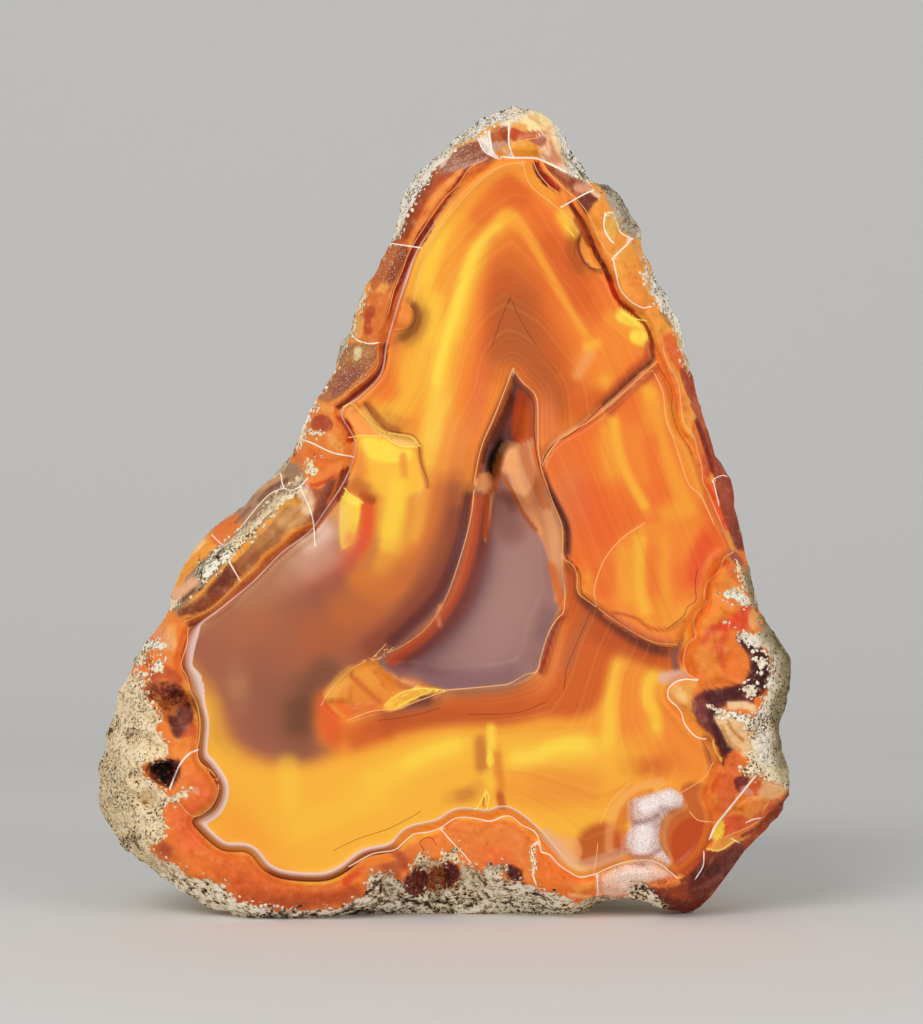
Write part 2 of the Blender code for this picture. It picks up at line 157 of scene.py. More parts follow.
# How far the forms of the face rise or lie back, in millimetres
HOLLOW_DEPTH, THROAT_DEPTH = 6.5, 3.5
BRIDGE_SHARE = 0.62          # of the hollow's depth, which the bridge fills
PLATE_RISE, SHELL_DEPTH = 1.5, 0.6
CHIP_DEPTH, SCAR_DEPTH = 1.1, 1.0
LEDGE_DEPTH, LEDGE_STEP_RISE = 4.2, 0.5
CORNER_SLOPE = 0.9           # millimetres back for each that the corner runs in
LOBE_RISE, NODULE_RISE, CRESCENT_DEPTH = 0.8, 1.1, 0.8

# Lines where the face breaks sharply: their marks, and whether they close
SHARP_LINES = [(WALL, True), (HOLLOW, True), (PLATE, True), (RIND_EDGE, True), (CHIP, True), (SCAR, True),
    (LEDGE_STEP, True)]
LINE_PULL = 4.0              # how far off a line draws the net
EDGE_REACH = 14              # how far off an edge its distance is kept
SKIN_DEPTH = 1 * MM          # the rim's stone shows this far round the outline, and the crust begins behind it
FACE_MIDDLE = 461, 560
RIM_STEPS = 120              # the outline's depth is taken in so many directions from there
SKIN_PATCHES = [((700, 400), 200, 4 * MM), ((750, 860), 90, 4 * MM), ((210, 540), 60, 3 * MM)]  # and deeper here
SIDE_DEPTHS = 0.5 * MM, 8 * MM  # how far back the side wanders off the drawing, and is all plain crust
SIDE_SWAY = 16               # how far it wanders
SKIN_FADE = 0.5 * MM         # for each unit that the crust gains on it
CRUST = "FCE3B8"             # the tint of the crust on the face
CRUST_BEHIND = "D2BC94"      # and behind it
DEEPEN = 1.08                # how much deeper the stains lie than they are painted
LINE_SHARE = 0.5             # how much of its drawn width a thin line has
PAINTED_GLOW = 0.15                  # painted glow: share of its own colour that the face gives off, for light through the stone
LIT_SPOT = (0, 0, 50 * MM)   # where the lamps point


def ease(value, low, high):
    """A smooth step from 0 at low to 1 at high."""
    t = np.clip((value - low) / (high - low), 0, 1)
    return t * t * (3 - 2 * t)


def smooth(marks, closed=False, steps=5):
    """A smooth line through the marks."""
    p = np.array(marks, float).reshape(-1, 2)
    if len(p) < 3 and not closed:
        return p
    long = np.vstack([p[-1:], p, p[:2]]) if closed else np.vstack([2 * p[0] - p[1], p, 2 * p[-1] - p[-2]])
    before, here, after, beyond = long[:-3], long[1:-2], long[2:-1], long[3:]
    rows = [0.5 * (2 * here + (after - before) * t + (2 * before - 5 * here + 4 * after - beyond) * t ** 2
                   + (3 * here - before - 3 * after + beyond) * t ** 3) for t in np.arange(steps) / steps]
    line = np.stack(rows, axis=1).reshape(-1, 2)
    return line if closed else np.vstack([line, p[-1]])


def close_to(spots, line, reach):
    """Which spots can lie within reach of a line."""
    return np.nonzero(np.all((spots > line.min(0) - reach) & (spots < line.max(0) + reach), axis=1))[0]


def off(spots, line, reach=2000, closed=False):
    """How far each spot lies from a line, its side of it, and how far along it, from 0 to 1."""
    far, side, along = np.full(len(spots), float(reach)), np.ones(len(spots)), np.zeros(len(spots))
    pick = close_to(spots, line, reach)
    pick = pick[np.argsort(spots[pick, 0])]
    s, d, g, t = spots[pick], far[pick], side[pick], along[pick]
    ends = np.roll(line, -1, axis=0) if closed else line[1:]
    steps = np.linalg.norm(ends - line[:len(ends)], axis=1)
    start = np.append(0, np.cumsum(steps))
    for i, (p, q) in enumerate(zip(line, ends)):
        first, last = np.searchsorted(s[:, 0], (min(p[0], q[0]) - reach, max(p[0], q[0]) + reach))
        near = np.abs(s[first:last, 1] - (p[1] + q[1]) / 2) < reach + abs(p[1] - q[1]) / 2
        near = first + np.nonzero(near)[0]
        run, gap = q - p, s[near] - p
        share = np.clip(gap @ run / max(run @ run, 1e-9), 0, 1)
        turn = run[0] * gap[:, 1] - run[1] * gap[:, 0]
        away = np.hypot(gap[:, 0] - share * run[0], gap[:, 1] - share * run[1])
        less = away < d[near]
        near, share = near[less], share[less]
        d[near], g[near] = away[less], np.where(turn[less] > 0, 1.0, -1.0)
        t[near] = (start[i] + share * steps[i]) / start[-1]
    far[pick], side[pick], along[pick] = d, g, t
    return far, side, along


def inside(spots, marks, reach=2000, steps=5):
    """How far each spot lies inside a closed line, and outside it as a number below zero."""
    line = smooth(marks, closed=True, steps=steps)
    depth = np.full(len(spots), -float(reach))
    pick = close_to(spots, line, reach)
    pick = pick[np.argsort(spots[pick, 1])]
    s = spots[pick]
    d, _, _ = off(s, line, reach, closed=True)
    within = np.zeros(len(s), bool)
    for a, b in zip(line, np.roll(line, -1, axis=0)):
        first, last = np.searchsorted(s[:, 1], (min(a[1], b[1]), max(a[1], b[1])))
        if first < last:
            row = s[first:last]
            within[first:last] ^= row[:, 0] < (b[0] - a[0]) * (row[:, 1] - a[1]) / (b[1] - a[1]) + a[0]
    depth[pick] = np.where(within, d, -d)
    return depth

# Tints, as they look on screen
LEMON, YELLOW, HONEY, GOLD, AMBER = "F8D850", "F6C644", "F3B43E", "D9A042", "F0A03A"
ORANGE, TANGERINE, FLAME = "ED8A36", "E87430", "E2532C"
RUST, EMBER, CLAY, TAN = "CF6229", "BC5526", "B46C48", "BE8A64"
COCOA, SMOKE, UMBER, MAROON, SOOT = "A6664C", "905A46", "704834", "5E2E26", "2A1612"
BLUSH, PEACH, SALMON, MAUVE, SLATE = "DDB3A3", "F0AC70", "DF7A48", "B08A82", "82636A"
BLOOD, SIENNA, DUSK = "A23016", "B5602F", "8C5A52"
FILL = -1                    # a stroke this wide fills the inside of its closed run
SOFT = 6                     # a stroke with this much blur fades like smoke


def tint(code):
    """A tint as three numbers from 0 to 1."""
    return np.array([int(code[i:i + 2], 16) for i in (0, 2, 4)]) / 255


def to_light(shade):
    """How bright a tint on screen is as light."""
    return np.where(shade <= 0.04045, shade / 12.92, ((shade + 0.055) / 1.055) ** 2.4)


def lay(stain_and_shade, spots, strokes):
    """Lays strokes over the colours, each with its tint, strength, half width, blur and run of marks."""
    for shade, strength, half, blur, run in strokes:
        marks = np.array(run, float).reshape(-1, 2)
        if half == FILL:
            cover = ease(inside(spots, marks, blur + 2), -blur / 2, blur / 2)
        elif blur < SOFT:
            cover = 1 - ease(off(spots, smooth(marks), half + blur + 1)[0], half, half + blur)
        else:
            line = smooth(marks)
            far, _, along = off(spots, line, 2.2 * (half + blur / 2))
            length = np.linalg.norm(np.diff(line, axis=0), axis=1).sum()
            ends = np.minimum(along, 1 - along) * length
            cover = np.exp(-(far / (half + blur / 2)) ** 3)
            if length > 3 * blur:
                cover *= 0.35 + 0.65 * ease(ends, 0, 1.2 * blur)
        stain_and_shade += (strength * cover)[:, None] * (tint(shade) - stain_and_shade)


CAP_STROKES = [
    (ORANGE, 1, FILL, 40, [500, 140, 570, 150, 610, 250, 665, 330, 655, 362, 600, 412, 545, 455, 520, 480, 470, 480,
     400, 450, 345, 410, 375, 330, 410, 230]),
    (TANGERINE, .8, 22, 30, [540, 225, 575, 285, 590, 320]),
    (HONEY, .95, 13, 14, [462, 200, 437, 240, 422, 290, 424, 345, 404, 395, 388, 415, 398, 432]),
    (YELLOW, .8, 4, 10, [445, 232, 430, 262, 422, 292]),
    (AMBER, .8, 3, 8, [472, 214, 455, 240, 440, 296]),
    (YELLOW, .7, 5, 12, [434, 300, 434, 335]),
    (ORANGE, .6, 3, 10, [386, 352, 392, 372, 384, 394, 372, 398]),
    (TANGERINE, .6, 6, 14, [380, 376, 388, 390]),
    (YELLOW, .9, 9, 14, [492, 236, 466, 290, 436, 415, 434, 455]),
    (LEMON, .8, 2, 8, [504, 218, 474, 254, 441, 360, 436, 390]),
    (AMBER, .7, 5, 12, [464, 335, 446, 450]),
    (ORANGE, .9, 7, 13, [504, 244, 484, 300, 463, 420, 459, 470]),
    (TANGERINE, .8, 6, 12, [506, 256, 474, 412]),
    (SALMON, .6, 5, 10, [494, 330, 470, 440]),
    (RUST, .9, 8, 16, [508, 262, 493, 366]),
    (RUST, .95, 18, 26, [513, 262, 522, 310, 540, 352, 562, 388, 590, 402]),
    (SIENNA, .9, 12, 22, [511, 280, 518, 325, 538, 362]),
    (SIENNA, .8, 8, 16, [509, 318, 502, 372]),
    (SIENNA, .8, 5, 14, [518, 340, 552, 392, 560, 420]),
    (SALMON, .8, 5, 12, [545, 396, 549, 425, 556, 444]),
    ("D8682A", .95, 10, 16, [508, 186, 520, 195]),
    ("E0742E", .8, 6, 12, [505, 192, 487, 207, 472, 228]),
    (TANGERINE, .7, 6, 12, [525, 196, 546, 224, 588, 300, 606, 322]),
    (RUST, .75, 7, 16, [540, 228, 590, 312]),
    (AMBER, .75, 5, 8, [452, 218, 470, 192, 492, 173, 516, 166, 558, 204]),
    (YELLOW, .85, 4, 9, [564, 216, 574, 232]),
    (HONEY, .9, 4, 9, [496, 226, 508, 216, 520, 225]),
    (AMBER, .9, 1.5, 7, [508, 216, 524, 229, 558, 288, 591, 343]),
    ("D8682C", .6, 4, 10, [556, 252, 590, 318]),
    (ORANGE, .9, FILL, 16, [600, 336, 640, 346, 650, 355, 628, 376, 606, 398, 588, 378, 594, 352]),
    (ORANGE, .7, 5, 12, [576, 372, 584, 356, 600, 340, 622, 334]),
    (PEACH, .6, 2, 9, [578, 374, 590, 352]),
    (HONEY, .8, 2, 7, [587, 346, 597, 343]),
    (HONEY, .7, 4, 10, [606, 382, 614, 390]),
    (RUST, .7, 6, 12, [566, 414, 612, 392]),
    (TANGERINE, .7, 5, 10, [622, 384, 642, 362]),
    (AMBER, .7, 6, 8, [612, 318, 630, 330]),
    (LEMON, .95, 4, 5, [622, 315, 634, 320, 645, 322]),
    (LEMON, .95, 5, 5, [637, 336, 647, 339]),
    # The nodule and the crescent with their shadows
    ("B87834", .7, 5, 9, [417, 303, 421, 318, 413, 334, 398, 342]),
    ("8E5222", .9, 2, 6, [408, 301, 415, 308, 417, 320, 410, 332, 396, 339]),
    ("F09044", 1, FILL, 1.2, [396, 302, 406, 302, 412, 310, 411, 320, 404, 328, 396, 331, 391, 329, 392, 316]),
    ("A8541F", .7, 3, 9, [576, 232, 572, 246, 576, 262, 588, 274]),
    ("8A441E", .75, .6, 3, [582, 231, 578, 243, 581, 256, 589, 266, 600, 271]),
    ("EC963A", 1, FILL, 1.2, [583, 234, 588, 232, 592, 242, 597, 256, 605, 267, 598, 269, 589, 264, 582, 253, 580,
     242]),
    # Both sides of the crack above the plate: a dark crack with painted shade along its upper side
    (SIENNA, .7, 2, 6, [541, 468, 548, 448, 575, 428, 604, 401]),
    (EMBER, .9, 2, 5, [600, 404, 632, 372, 648, 357, 649, 344]),
    (MAROON, .95, 1.4, 2, [604, 404, 634, 375, 652, 360, 652, 346]),
]

CHIP_STROKES = [
    ("F4C450", .75, 5, 12, [444, 388, 430, 448, 427, 476]),
    ("EE9A46", .85, 4, 8, [455, 414, 441, 478]), ("E58A46", .8, 4, 8, [466, 420, 456, 476]),
    # Painted shade beside the left rim of the hollow, darkest next to it
    ("C6703A", .9, 4, 9, [446, 478, 434, 534, 406, 586]),
    ("AA5F3A", .9, 4, 9, [457, 476, 444, 532, 417, 588, 398, 610]),
    ("8A4632", .8, 7, 10, [462, 500, 448, 556, 420, 602, 380, 640, 360, 654]),
    ("66302A", .95, 4, 7, [471, 488, 461, 542, 438, 596, 386, 648]),
    ("F2A254", .95, FILL, 2.5, [344, 407, 352, 404, 359, 404, 366, 416, 376, 426, 388, 433, 412, 437, 419, 445, 400,
     446, 384, 437, 366, 436, 350, 438]),
    ("F6C66A", .85, 3, 4, [364, 411, 374, 424, 386, 432]),
    ("F2BA42", 1, FILL, 6, [347, 438, 384, 438, 400, 447, 418, 448, 424, 478, 418, 492, 398, 496, 372, 492, 352,
     478]),
    ("F7D850", .95, FILL, 4, [362, 438, 384, 439, 400, 448, 412, 450, 408, 460, 386, 462, 368, 456]),
    ("E88C3A", .85, 5, 8, [353, 446, 363, 482]), ("E2903A", .75, 1.4, 5, [403, 456, 404, 474]),
    # A pale facet under the chip's edge: a painted highlight
    ("F6CE74", .9, FILL, 1.5, [388, 434, 413, 439, 417, 444, 404, 446, 394, 441]),
    # Painted shadow above the chip's upper edge
    ("A45826", .85, 1.5, 5, [367, 405, 385, 425, 398, 430]), ("C88038", .5, 4, 9, [378, 412, 410, 430]),
    ("CC7836", .8, 1, 3, [420, 447, 421, 460, 428, 486]),
    # Painted shadow along the chip's lower edge
    ("C26C32", .85, 4, 7, [350, 478, 372, 494]),
    ("F5CA46", .95, 6, 6, [396, 476, 397, 500, 387, 542]),
]

MIDDLE_STROKES = [
    (COCOA, 1, FILL, 30, [180, 640, 215, 608, 252, 580, 308, 528, 340, 520, 352, 556, 420, 560, 470, 510, 490, 480,
     480, 560, 450, 600, 400, 650, 345, 690, 322, 730, 330, 752, 300, 764, 240, 750, 214, 700, 195, 670]),
    (TAN, .55, 14, 20, [225, 616, 260, 588, 318, 560]),
    (CLAY, .6, 12, 20, [218, 640, 256, 624, 282, 606]),
    (SMOKE, .5, 10, 18, [300, 605, 340, 594, 366, 580]),
    ("B4623A", .8, 16, 22, [290, 650, 366, 612]),
    ("AE5F3C", .7, 12, 20, [350, 646, 402, 604]),
    ("DA7E36", .95, FILL, 20, [336, 480, 352, 484, 372, 480, 420, 474, 446, 452, 472, 450, 468, 500, 456, 536, 420,
     584, 398, 598, 372, 600, 352, 590, 346, 574, 352, 560, 338, 520]),
    ("F1BC46", 1, 11, 10, [396, 480, 391, 535, 384, 558]),
    ("E6A03E", .85, 8, 12, [392, 548, 388, 570, 380, 586]), ("EAA446", .9, 4, 8, [424, 474, 417, 524, 410, 544]),
    ("D67C38", .85, 6, 12, [412, 556, 401, 582, 384, 598]), ("C46E38", .7, 12, 24, [402, 582, 378, 598, 350, 606]),
    ("C67C46", .7, 2.5, 7, [377, 532, 372, 552, 362, 572]),
    ("E25A30", .95, 4, 6, [367, 496, 368, 518, 364, 540, 356, 552]), ("D05E42", .85, 6, 9, [362, 540, 350, 556, 334,
     570]),
    ("AC5844", .7, 8, 12, [344, 564, 300, 588]),
    ("F4CA46", 1, FILL, 3, [342, 488, 350, 494, 360, 501, 359, 520, 354, 538, 346, 548, 341, 546, 339, 520]),
    ("EC9448", .85, 3.5, 6, [354, 530, 347, 548]), (LEMON, .9, 2.5, 4, [345, 495, 357, 502]),
    ("A44C1E", .9, 2, 4, [363, 494, 372, 500]),
    ("E8C4B2", .95, 10, 14, [334, 516, 316, 534, 292, 550]),
    ("D9A68E", .6, 8, 16, [340, 540, 322, 560, 290, 576]),
    (UMBER, .9, 12, 16, [300, 690, 298, 745]),
    (UMBER, .6, 8, 18, [325, 672, 312, 700]),
    (SMOKE, .5, 14, 20, [262, 668, 268, 720, 284, 745]),
    (TAN, .5, 6, 12, [236, 668, 240, 705]),
    (GOLD, .85, 7, 14, [206, 690, 210, 735, 226, 756, 250, 766]),
    (HONEY, .7, 3, 8, [204, 700, 207, 740, 220, 760]),
    (TANGERINE, .9, 10, 14, [330, 704, 330, 724]),
    ("E0622E", .8, 5, 12, [328, 712, 334, 736]),
    (RUST, .9, 10, 14, [340, 745, 400, 722]),
    (EMBER, .9, 8, 14, [372, 722, 460, 712, 500, 712, 540, 700]),
    (COCOA, .8, 4, 10, [372, 708, 440, 700]),
    (MAROON, .7, 3, 7, [384, 705, 436, 698]),
    (RUST, .8, 8, 12, [445, 698, 490, 700, 530, 692, 548, 680]),
]

LOWER_STROKES = [
    (HONEY, 1, FILL, 26, [205, 750, 250, 764, 300, 768, 400, 742, 460, 732, 600, 734, 640, 740, 700, 745, 730, 790,
     700, 880, 560, 880, 500, 830, 430, 840, 350, 880, 260, 890, 180, 830]),
    (AMBER, .7, 12, 20, [222, 800, 240, 830, 280, 860]),
    (YELLOW, .6, 6, 12, [288, 765, 290, 800]),
    (YELLOW, .8, 8, 14, [356, 790, 440, 752, 468, 746]),
    (YELLOW, .5, 8, 18, [280, 830, 340, 815, 400, 795]),
    (LEMON, .6, 3, 9, [400, 768, 432, 752, 466, 743]),
    (HONEY, .8, 8, 14, [300, 862, 340, 842, 430, 804]),
    (YELLOW, .8, 8, 14, [505, 758, 550, 756, 600, 742]),
    (LEMON, .8, 4, 9, [506, 760, 532, 759, 552, 748, 580, 744, 602, 748]),
    (AMBER, .8, 10, 18, [520, 788, 560, 790]),
    (ORANGE, .9, 20, 26, [640, 720, 690, 760, 690, 800]), ("EA983C", .85, 12, 18, [520, 788, 560, 786, 612, 792]),
    (RUST, .7, 5, 14, [630, 766, 655, 768, 672, 760]),
    (AMBER, .6, 3, 8, [606, 806, 616, 792, 660, 776]),
    (AMBER, .9, 9, 12, [602, 742, 618, 660]),
    (YELLOW, .9, 5, 9, [598, 746, 609, 734, 615, 676, 623, 654]),
    (ORANGE, .8, 8, 12, [634, 660, 630, 700, 634, 738]),
    (AMBER, .8, 6, 10, [652, 668, 650, 700, 656, 740]),
    (YELLOW, .85, 3, 8, [668, 664, 650, 680, 648, 700, 657, 716, 656, 736]),
    (ORANGE, .8, 5, 10, [668, 700, 672, 730]),
    # Painted shadow beside the tube
    (SIENNA, .6, 3, 9, [481, 742, 482, 766]),
    (SIENNA, .5, 3, 10, [450, 798, 468, 794, 478, 786]),
    (RUST, .5, 2, 7, [497, 748, 500, 795]),
    (EMBER, .8, 2, 4, [500, 795, 502, 806]),
    (LEMON, .8, 2, 6, [491, 728, 491, 746]),
    (LEMON, .9, FILL, 2, [487, 752, 490, 749, 493, 754, 493, 763, 490, 768, 487, 763]),
    (YELLOW, .6, 3, 8, [488, 776, 492, 784]),
    (RUST, .8, .4, 1.6, [485, 797, 484, 806]),
    # The discs at the lower right
    ("BE6028", .95, FILL, 12, [578, 862, 576, 842, 590, 826, 612, 824, 624, 846, 618, 864, 598, 870]),
    (PEACH, .7, FILL, 4, [542, 848, 548, 839, 562, 835, 576, 838, 582, 850, 578, 862, 566, 866, 552, 860]),
    ("C4662E", .95, FILL, 5, [684, 784, 704, 784, 714, 800, 712, 840, 702, 862, 682, 876, 662, 866, 658, 840, 662,
     818, 676, 804]),
    ("D28C54", .9, 2.6, 3, [684, 806, 670, 814, 663, 828, 663, 846, 670, 860]),
    ("BE5020", 1, FILL, 3, [671, 838, 679, 824, 692, 817, 704, 822, 714, 826, 712, 850, 702, 864, 688, 878, 674,
     862]),
    (PEACH, .55, 2, 5, [609, 848, 610, 828, 616, 808, 628, 794, 644, 786, 662, 782]),
    (RUST, .5, 3, 5, [620, 846, 622, 820, 632, 803, 650, 794]),
]

UNDER_STROKES = [
    (RUST, .95, FILL, 16, [560, 560, 580, 575, 590, 600, 620, 628, 655, 646, 690, 650, 672, 672, 650, 664, 625, 650,
     612, 660, 600, 700, 580, 716, 545, 716, 500, 716, 545, 690, 560, 640, 568, 600]),
    (EMBER, .8, 8, 14, [580, 608, 602, 630, 632, 646, 668, 658]),
    (SALMON, .5, 5, 10, [560, 640, 552, 672, 530, 694]),
    (CLAY, .5, 4, 8, [590, 612, 576, 640, 566, 672]),
    # Painted shadow under the plate's lower edge
    (MAROON, .75, 2, 10, [567, 560, 580, 578, 583, 596, 600, 612, 628, 634, 655, 648, 674, 651]),
    (EMBER, .8, 3, 5, [564, 614, 556, 628, 543, 670]),
    (BLOOD, .95, 1.5, 2, [562, 616, 553, 630, 541, 670]),
    (EMBER, .5, 4, 6, [570, 575, 570, 600, 564, 616]),
    (DUSK, .9, 2, 3, [680, 638, 675, 652, 676, 668]),
    (BLUSH, .85, 4, 4, [664, 678, 680, 676, 690, 678]),
]

PLATE_STROKES = [
    (TANGERINE, 1, FILL, 2, [655, 364, 640, 378, 590, 422, 560, 440, 548, 453, 542, 472, 552, 500, 564, 525, 565,
     556, 577, 574, 578, 592, 596, 605, 625, 628, 655, 643, 676, 645, 688, 622, 706, 592, 720, 566, 732, 552, 722,
     525, 706, 492, 692, 450, 675, 425, 671, 395, 661, 368]),
    (SALMON, .8, 14, 16, [562, 462, 568, 495, 580, 530]),
    (FLAME, .35, 12, 18, [592, 500, 600, 530]),
    (ORANGE, .9, 12, 14, [606, 426, 612, 460, 622, 486]),
    (AMBER, .8, 4, 9, [606, 420, 608, 450, 616, 480]),
    (HONEY, .9, 3, 6, [613, 414, 624, 464, 648, 512]),
    (ORANGE, .9, 9, 8, [632, 420, 638, 455, 652, 485]),
    (AMBER, .9, 8, 9, [648, 382, 664, 452, 694, 520]),
    (HONEY, .6, 3, 6, [644, 378, 652, 400]),
    (TANGERINE, .8, 4, 8, [650, 430, 654, 460, 668, 505]),
    (TANGERINE, .8, 6, 8, [676, 430, 716, 525]),
    (AMBER, .8, 4, 7, [668, 400, 676, 430, 704, 500]),
    (AMBER, .8, 8, 10, [656, 520, 676, 512, 690, 520]),
    (TANGERINE, .9, 8, 8, [582, 566, 590, 556]),
    (AMBER, .7, 4, 6, [582, 582, 590, 592, 584, 570]),
    # The shell-shaped break
    (ORANGE, 1, FILL, 2, [645, 523, 630, 531, 617, 543, 606, 558, 597, 578, 592, 597, 598, 606, 625, 628, 655, 643,
     676, 645, 688, 622, 704, 596, 712, 560, 700, 530, 676, 522]),
    (TANGERINE, .9, 9, 9, [612, 556, 605, 585, 606, 602]),
    (AMBER, .9, 6, 7, [626, 542, 624, 575, 630, 606]),
    (HONEY, .95, 5, 6, [640, 532, 641, 590, 648, 618]),
    (AMBER, .7, 5, 9, [660, 530, 664, 600, 672, 620]),
    (TANGERINE, .6, 4, 8, [654, 540, 652, 575, 656, 600]),
    (FLAME, .85, 6, 9, [714, 532, 704, 545, 694, 572, 692, 590]),
    (TANGERINE, .8, 5, 8, [682, 560, 680, 590]),
    (AMBER, .8, 4, 7, [688, 600, 676, 620, 660, 628]),
    (SALMON, .9, 3, 3, [608, 614, 648, 637, 668, 641]),
    (EMBER, .8, 0, 3, [614, 612, 636, 618, 650, 628, 668, 629, 684, 620]),
    # The bevel under the crack, with a painted highlight along its edge, and painted shade along the plate's left
    # edge
    (EMBER, .9, 3, 4, [655, 368, 645, 378, 632, 386, 610, 410]),
    (PEACH, .8, 0, 3, [654, 364, 612, 402, 562, 437, 549, 452, 543, 468]),
    (RUST, .6, 1, 4, [600, 414, 580, 428]),
    (MAROON, .9, 1, 5, [543, 474, 548, 488, 566, 524, 567, 552]),
]

HOLLOW_STROKES = [
    (MAUVE, 1, FILL, 1.5, [513, 369, 522, 382, 535, 396, 535, 436, 542, 472, 552, 503, 562, 528, 562, 560, 565, 592,
     552, 622, 544, 650, 536, 670, 520, 681, 490, 687, 434, 689, 402, 680, 378, 662, 390, 650, 426, 626, 448, 590,
     464, 545, 474, 500, 481, 450, 500, 412, 509, 388]),
    # Painted shade in the hollow: darker towards its walls and bottom
    (SLATE, .8, 8, 20, [480, 520, 474, 570, 458, 606, 434, 636, 404, 656]),
    (DUSK, .6, 6, 16, [500, 500, 512, 530]),
    (SLATE, .6, 5, 20, [410, 672, 450, 682, 500, 680, 530, 666]),
    (SLATE, .5, 5, 14, [552, 600, 540, 650]),
    (MAROON, .55, 4, 8, [484, 500, 478, 556]),
    ("8E4A44", .8, 6, 9, [486, 500, 476, 566, 452, 618, 396, 664]),
    ("D0603A", .9, 3, 5, [478, 498, 474, 530, 468, 560, 458, 588, 446, 610, 430, 630, 412, 646, 392, 660]),
    # A painted highlight along the hollow's left edge
    ("E27A44", .8, 1, 3, [475, 500, 471, 530, 455, 588, 425, 630, 388, 658]),
    ("E8A070", .9, .8, 2, [441, 606, 438, 614, 440, 626]),
    # The neck of the hollow and its bridge; the slate, maroon and near-black strokes are painted shade in the neck
    # and throat
    (SLATE, 1, FILL, 3, [513, 374, 522, 386, 531, 398, 531, 440, 512, 442, 500, 452, 494, 474, 486, 474, 484, 456,
     500, 414]),
    (MAROON, .8, 3, 5, [510, 400, 502, 420, 496, 440]),
    ("D9663A", .95, FILL, 5, [518, 388, 527, 394, 532, 402, 532, 442, 514, 442, 511, 426, 514, 408]),
    (TANGERINE, .8, 4, 5, [522, 412, 521, 434]),
    (SIENNA, 1, 3, 3, [510, 382, 485, 440, 479, 462, 476, 480]),
    (MAROON, .9, 1, 1.5, [511, 392, 504, 410, 487, 446, 483, 462]),
    ("C86A42", 1, 2, 2, [517, 378, 535, 397, 536, 420, 537, 446, 541, 466]),
    (SOOT, 1, FILL, 3, [499, 440, 503, 442, 497, 456, 495, 472, 488, 472, 489, 456]),
    ("E2A173", 1, FILL, 2, [500, 446, 506, 441, 520, 443, 530, 439, 534, 442, 538, 474, 552, 503, 561, 530, 562, 560,
     563, 592, 556, 604, 552, 580, 546, 552, 536, 530, 514, 500, 504, 484, 497, 480, 492, 506, 487, 536, 484, 538,
     486, 516, 492, 474]),
    (PEACH, .9, 4, 4, [510, 450, 512, 468]),
    ("D08050", .9, 3, 4, [524, 448, 528, 466, 546, 506]),
    (TANGERINE, .7, 1.5, 3, [534, 446, 538, 466, 545, 486]),
    (SIENNA, .8, 2, 4, [500, 456, 492, 490]),
    (DUSK, .7, 3, 5, [503, 478, 512, 506]),
    (PEACH, .8, 1.5, 3, [516, 470, 522, 488, 534, 512, 540, 530]),
    (SIENNA, .9, 1, 2, [499, 472, 508, 484, 524, 514, 536, 530]),
    ("F2B583", .9, 3, 5, [548, 514, 554, 536, 557, 562]),
    (TANGERINE, .7, 2, 4, [552, 566, 562, 604]),
    (EMBER, .9, 2, 2, [481, 478, 486, 488, 487, 508, 485, 534]),
    (PEACH, 1, FILL, 2, [475, 484, 479, 475, 490, 473, 492, 482, 488, 491, 480, 491]),
]

SCAR_STROKES = [
    ("E59038", 1, FILL, 2, [325, 700, 330, 688, 346, 672, 362, 661, 377, 659, 381, 668, 402, 684, 404, 692, 396, 700,
     392, 710, 370, 711, 348, 720, 336, 712]),
    ("EAA84C", .85, 4, 5, [330, 694, 340, 682, 352, 672]), ("DA7434", .8, 4, 6, [344, 706, 362, 710, 380, 704]),
    (TANGERINE, .8, 2, 5, [340, 704, 350, 714]), ("EEA040", .7, 5, 6, [362, 672, 372, 684]),
    ("C8642E", .7, 1, 3, [352, 676, 380, 702]),
    ("D88650", 1, FILL, 5, [394, 679, 410, 677, 438, 689, 420, 690, 404, 690, 398, 684]),
    ("EEAE78", .7, 1.5, 3, [404, 681, 418, 684]),
    ("F2B840", 1, FILL, 2.5, [384, 706, 392, 697, 408, 689, 424, 687, 446, 690, 424, 694, 412, 702, 398, 709, 386,
     710]),
    ("E08A34", .9, 1.5, 2.5, [402, 696, 416, 691]), ("F8CC58", .8, 1, 2.5, [388, 706, 396, 699, 408, 692, 420, 689]),
]


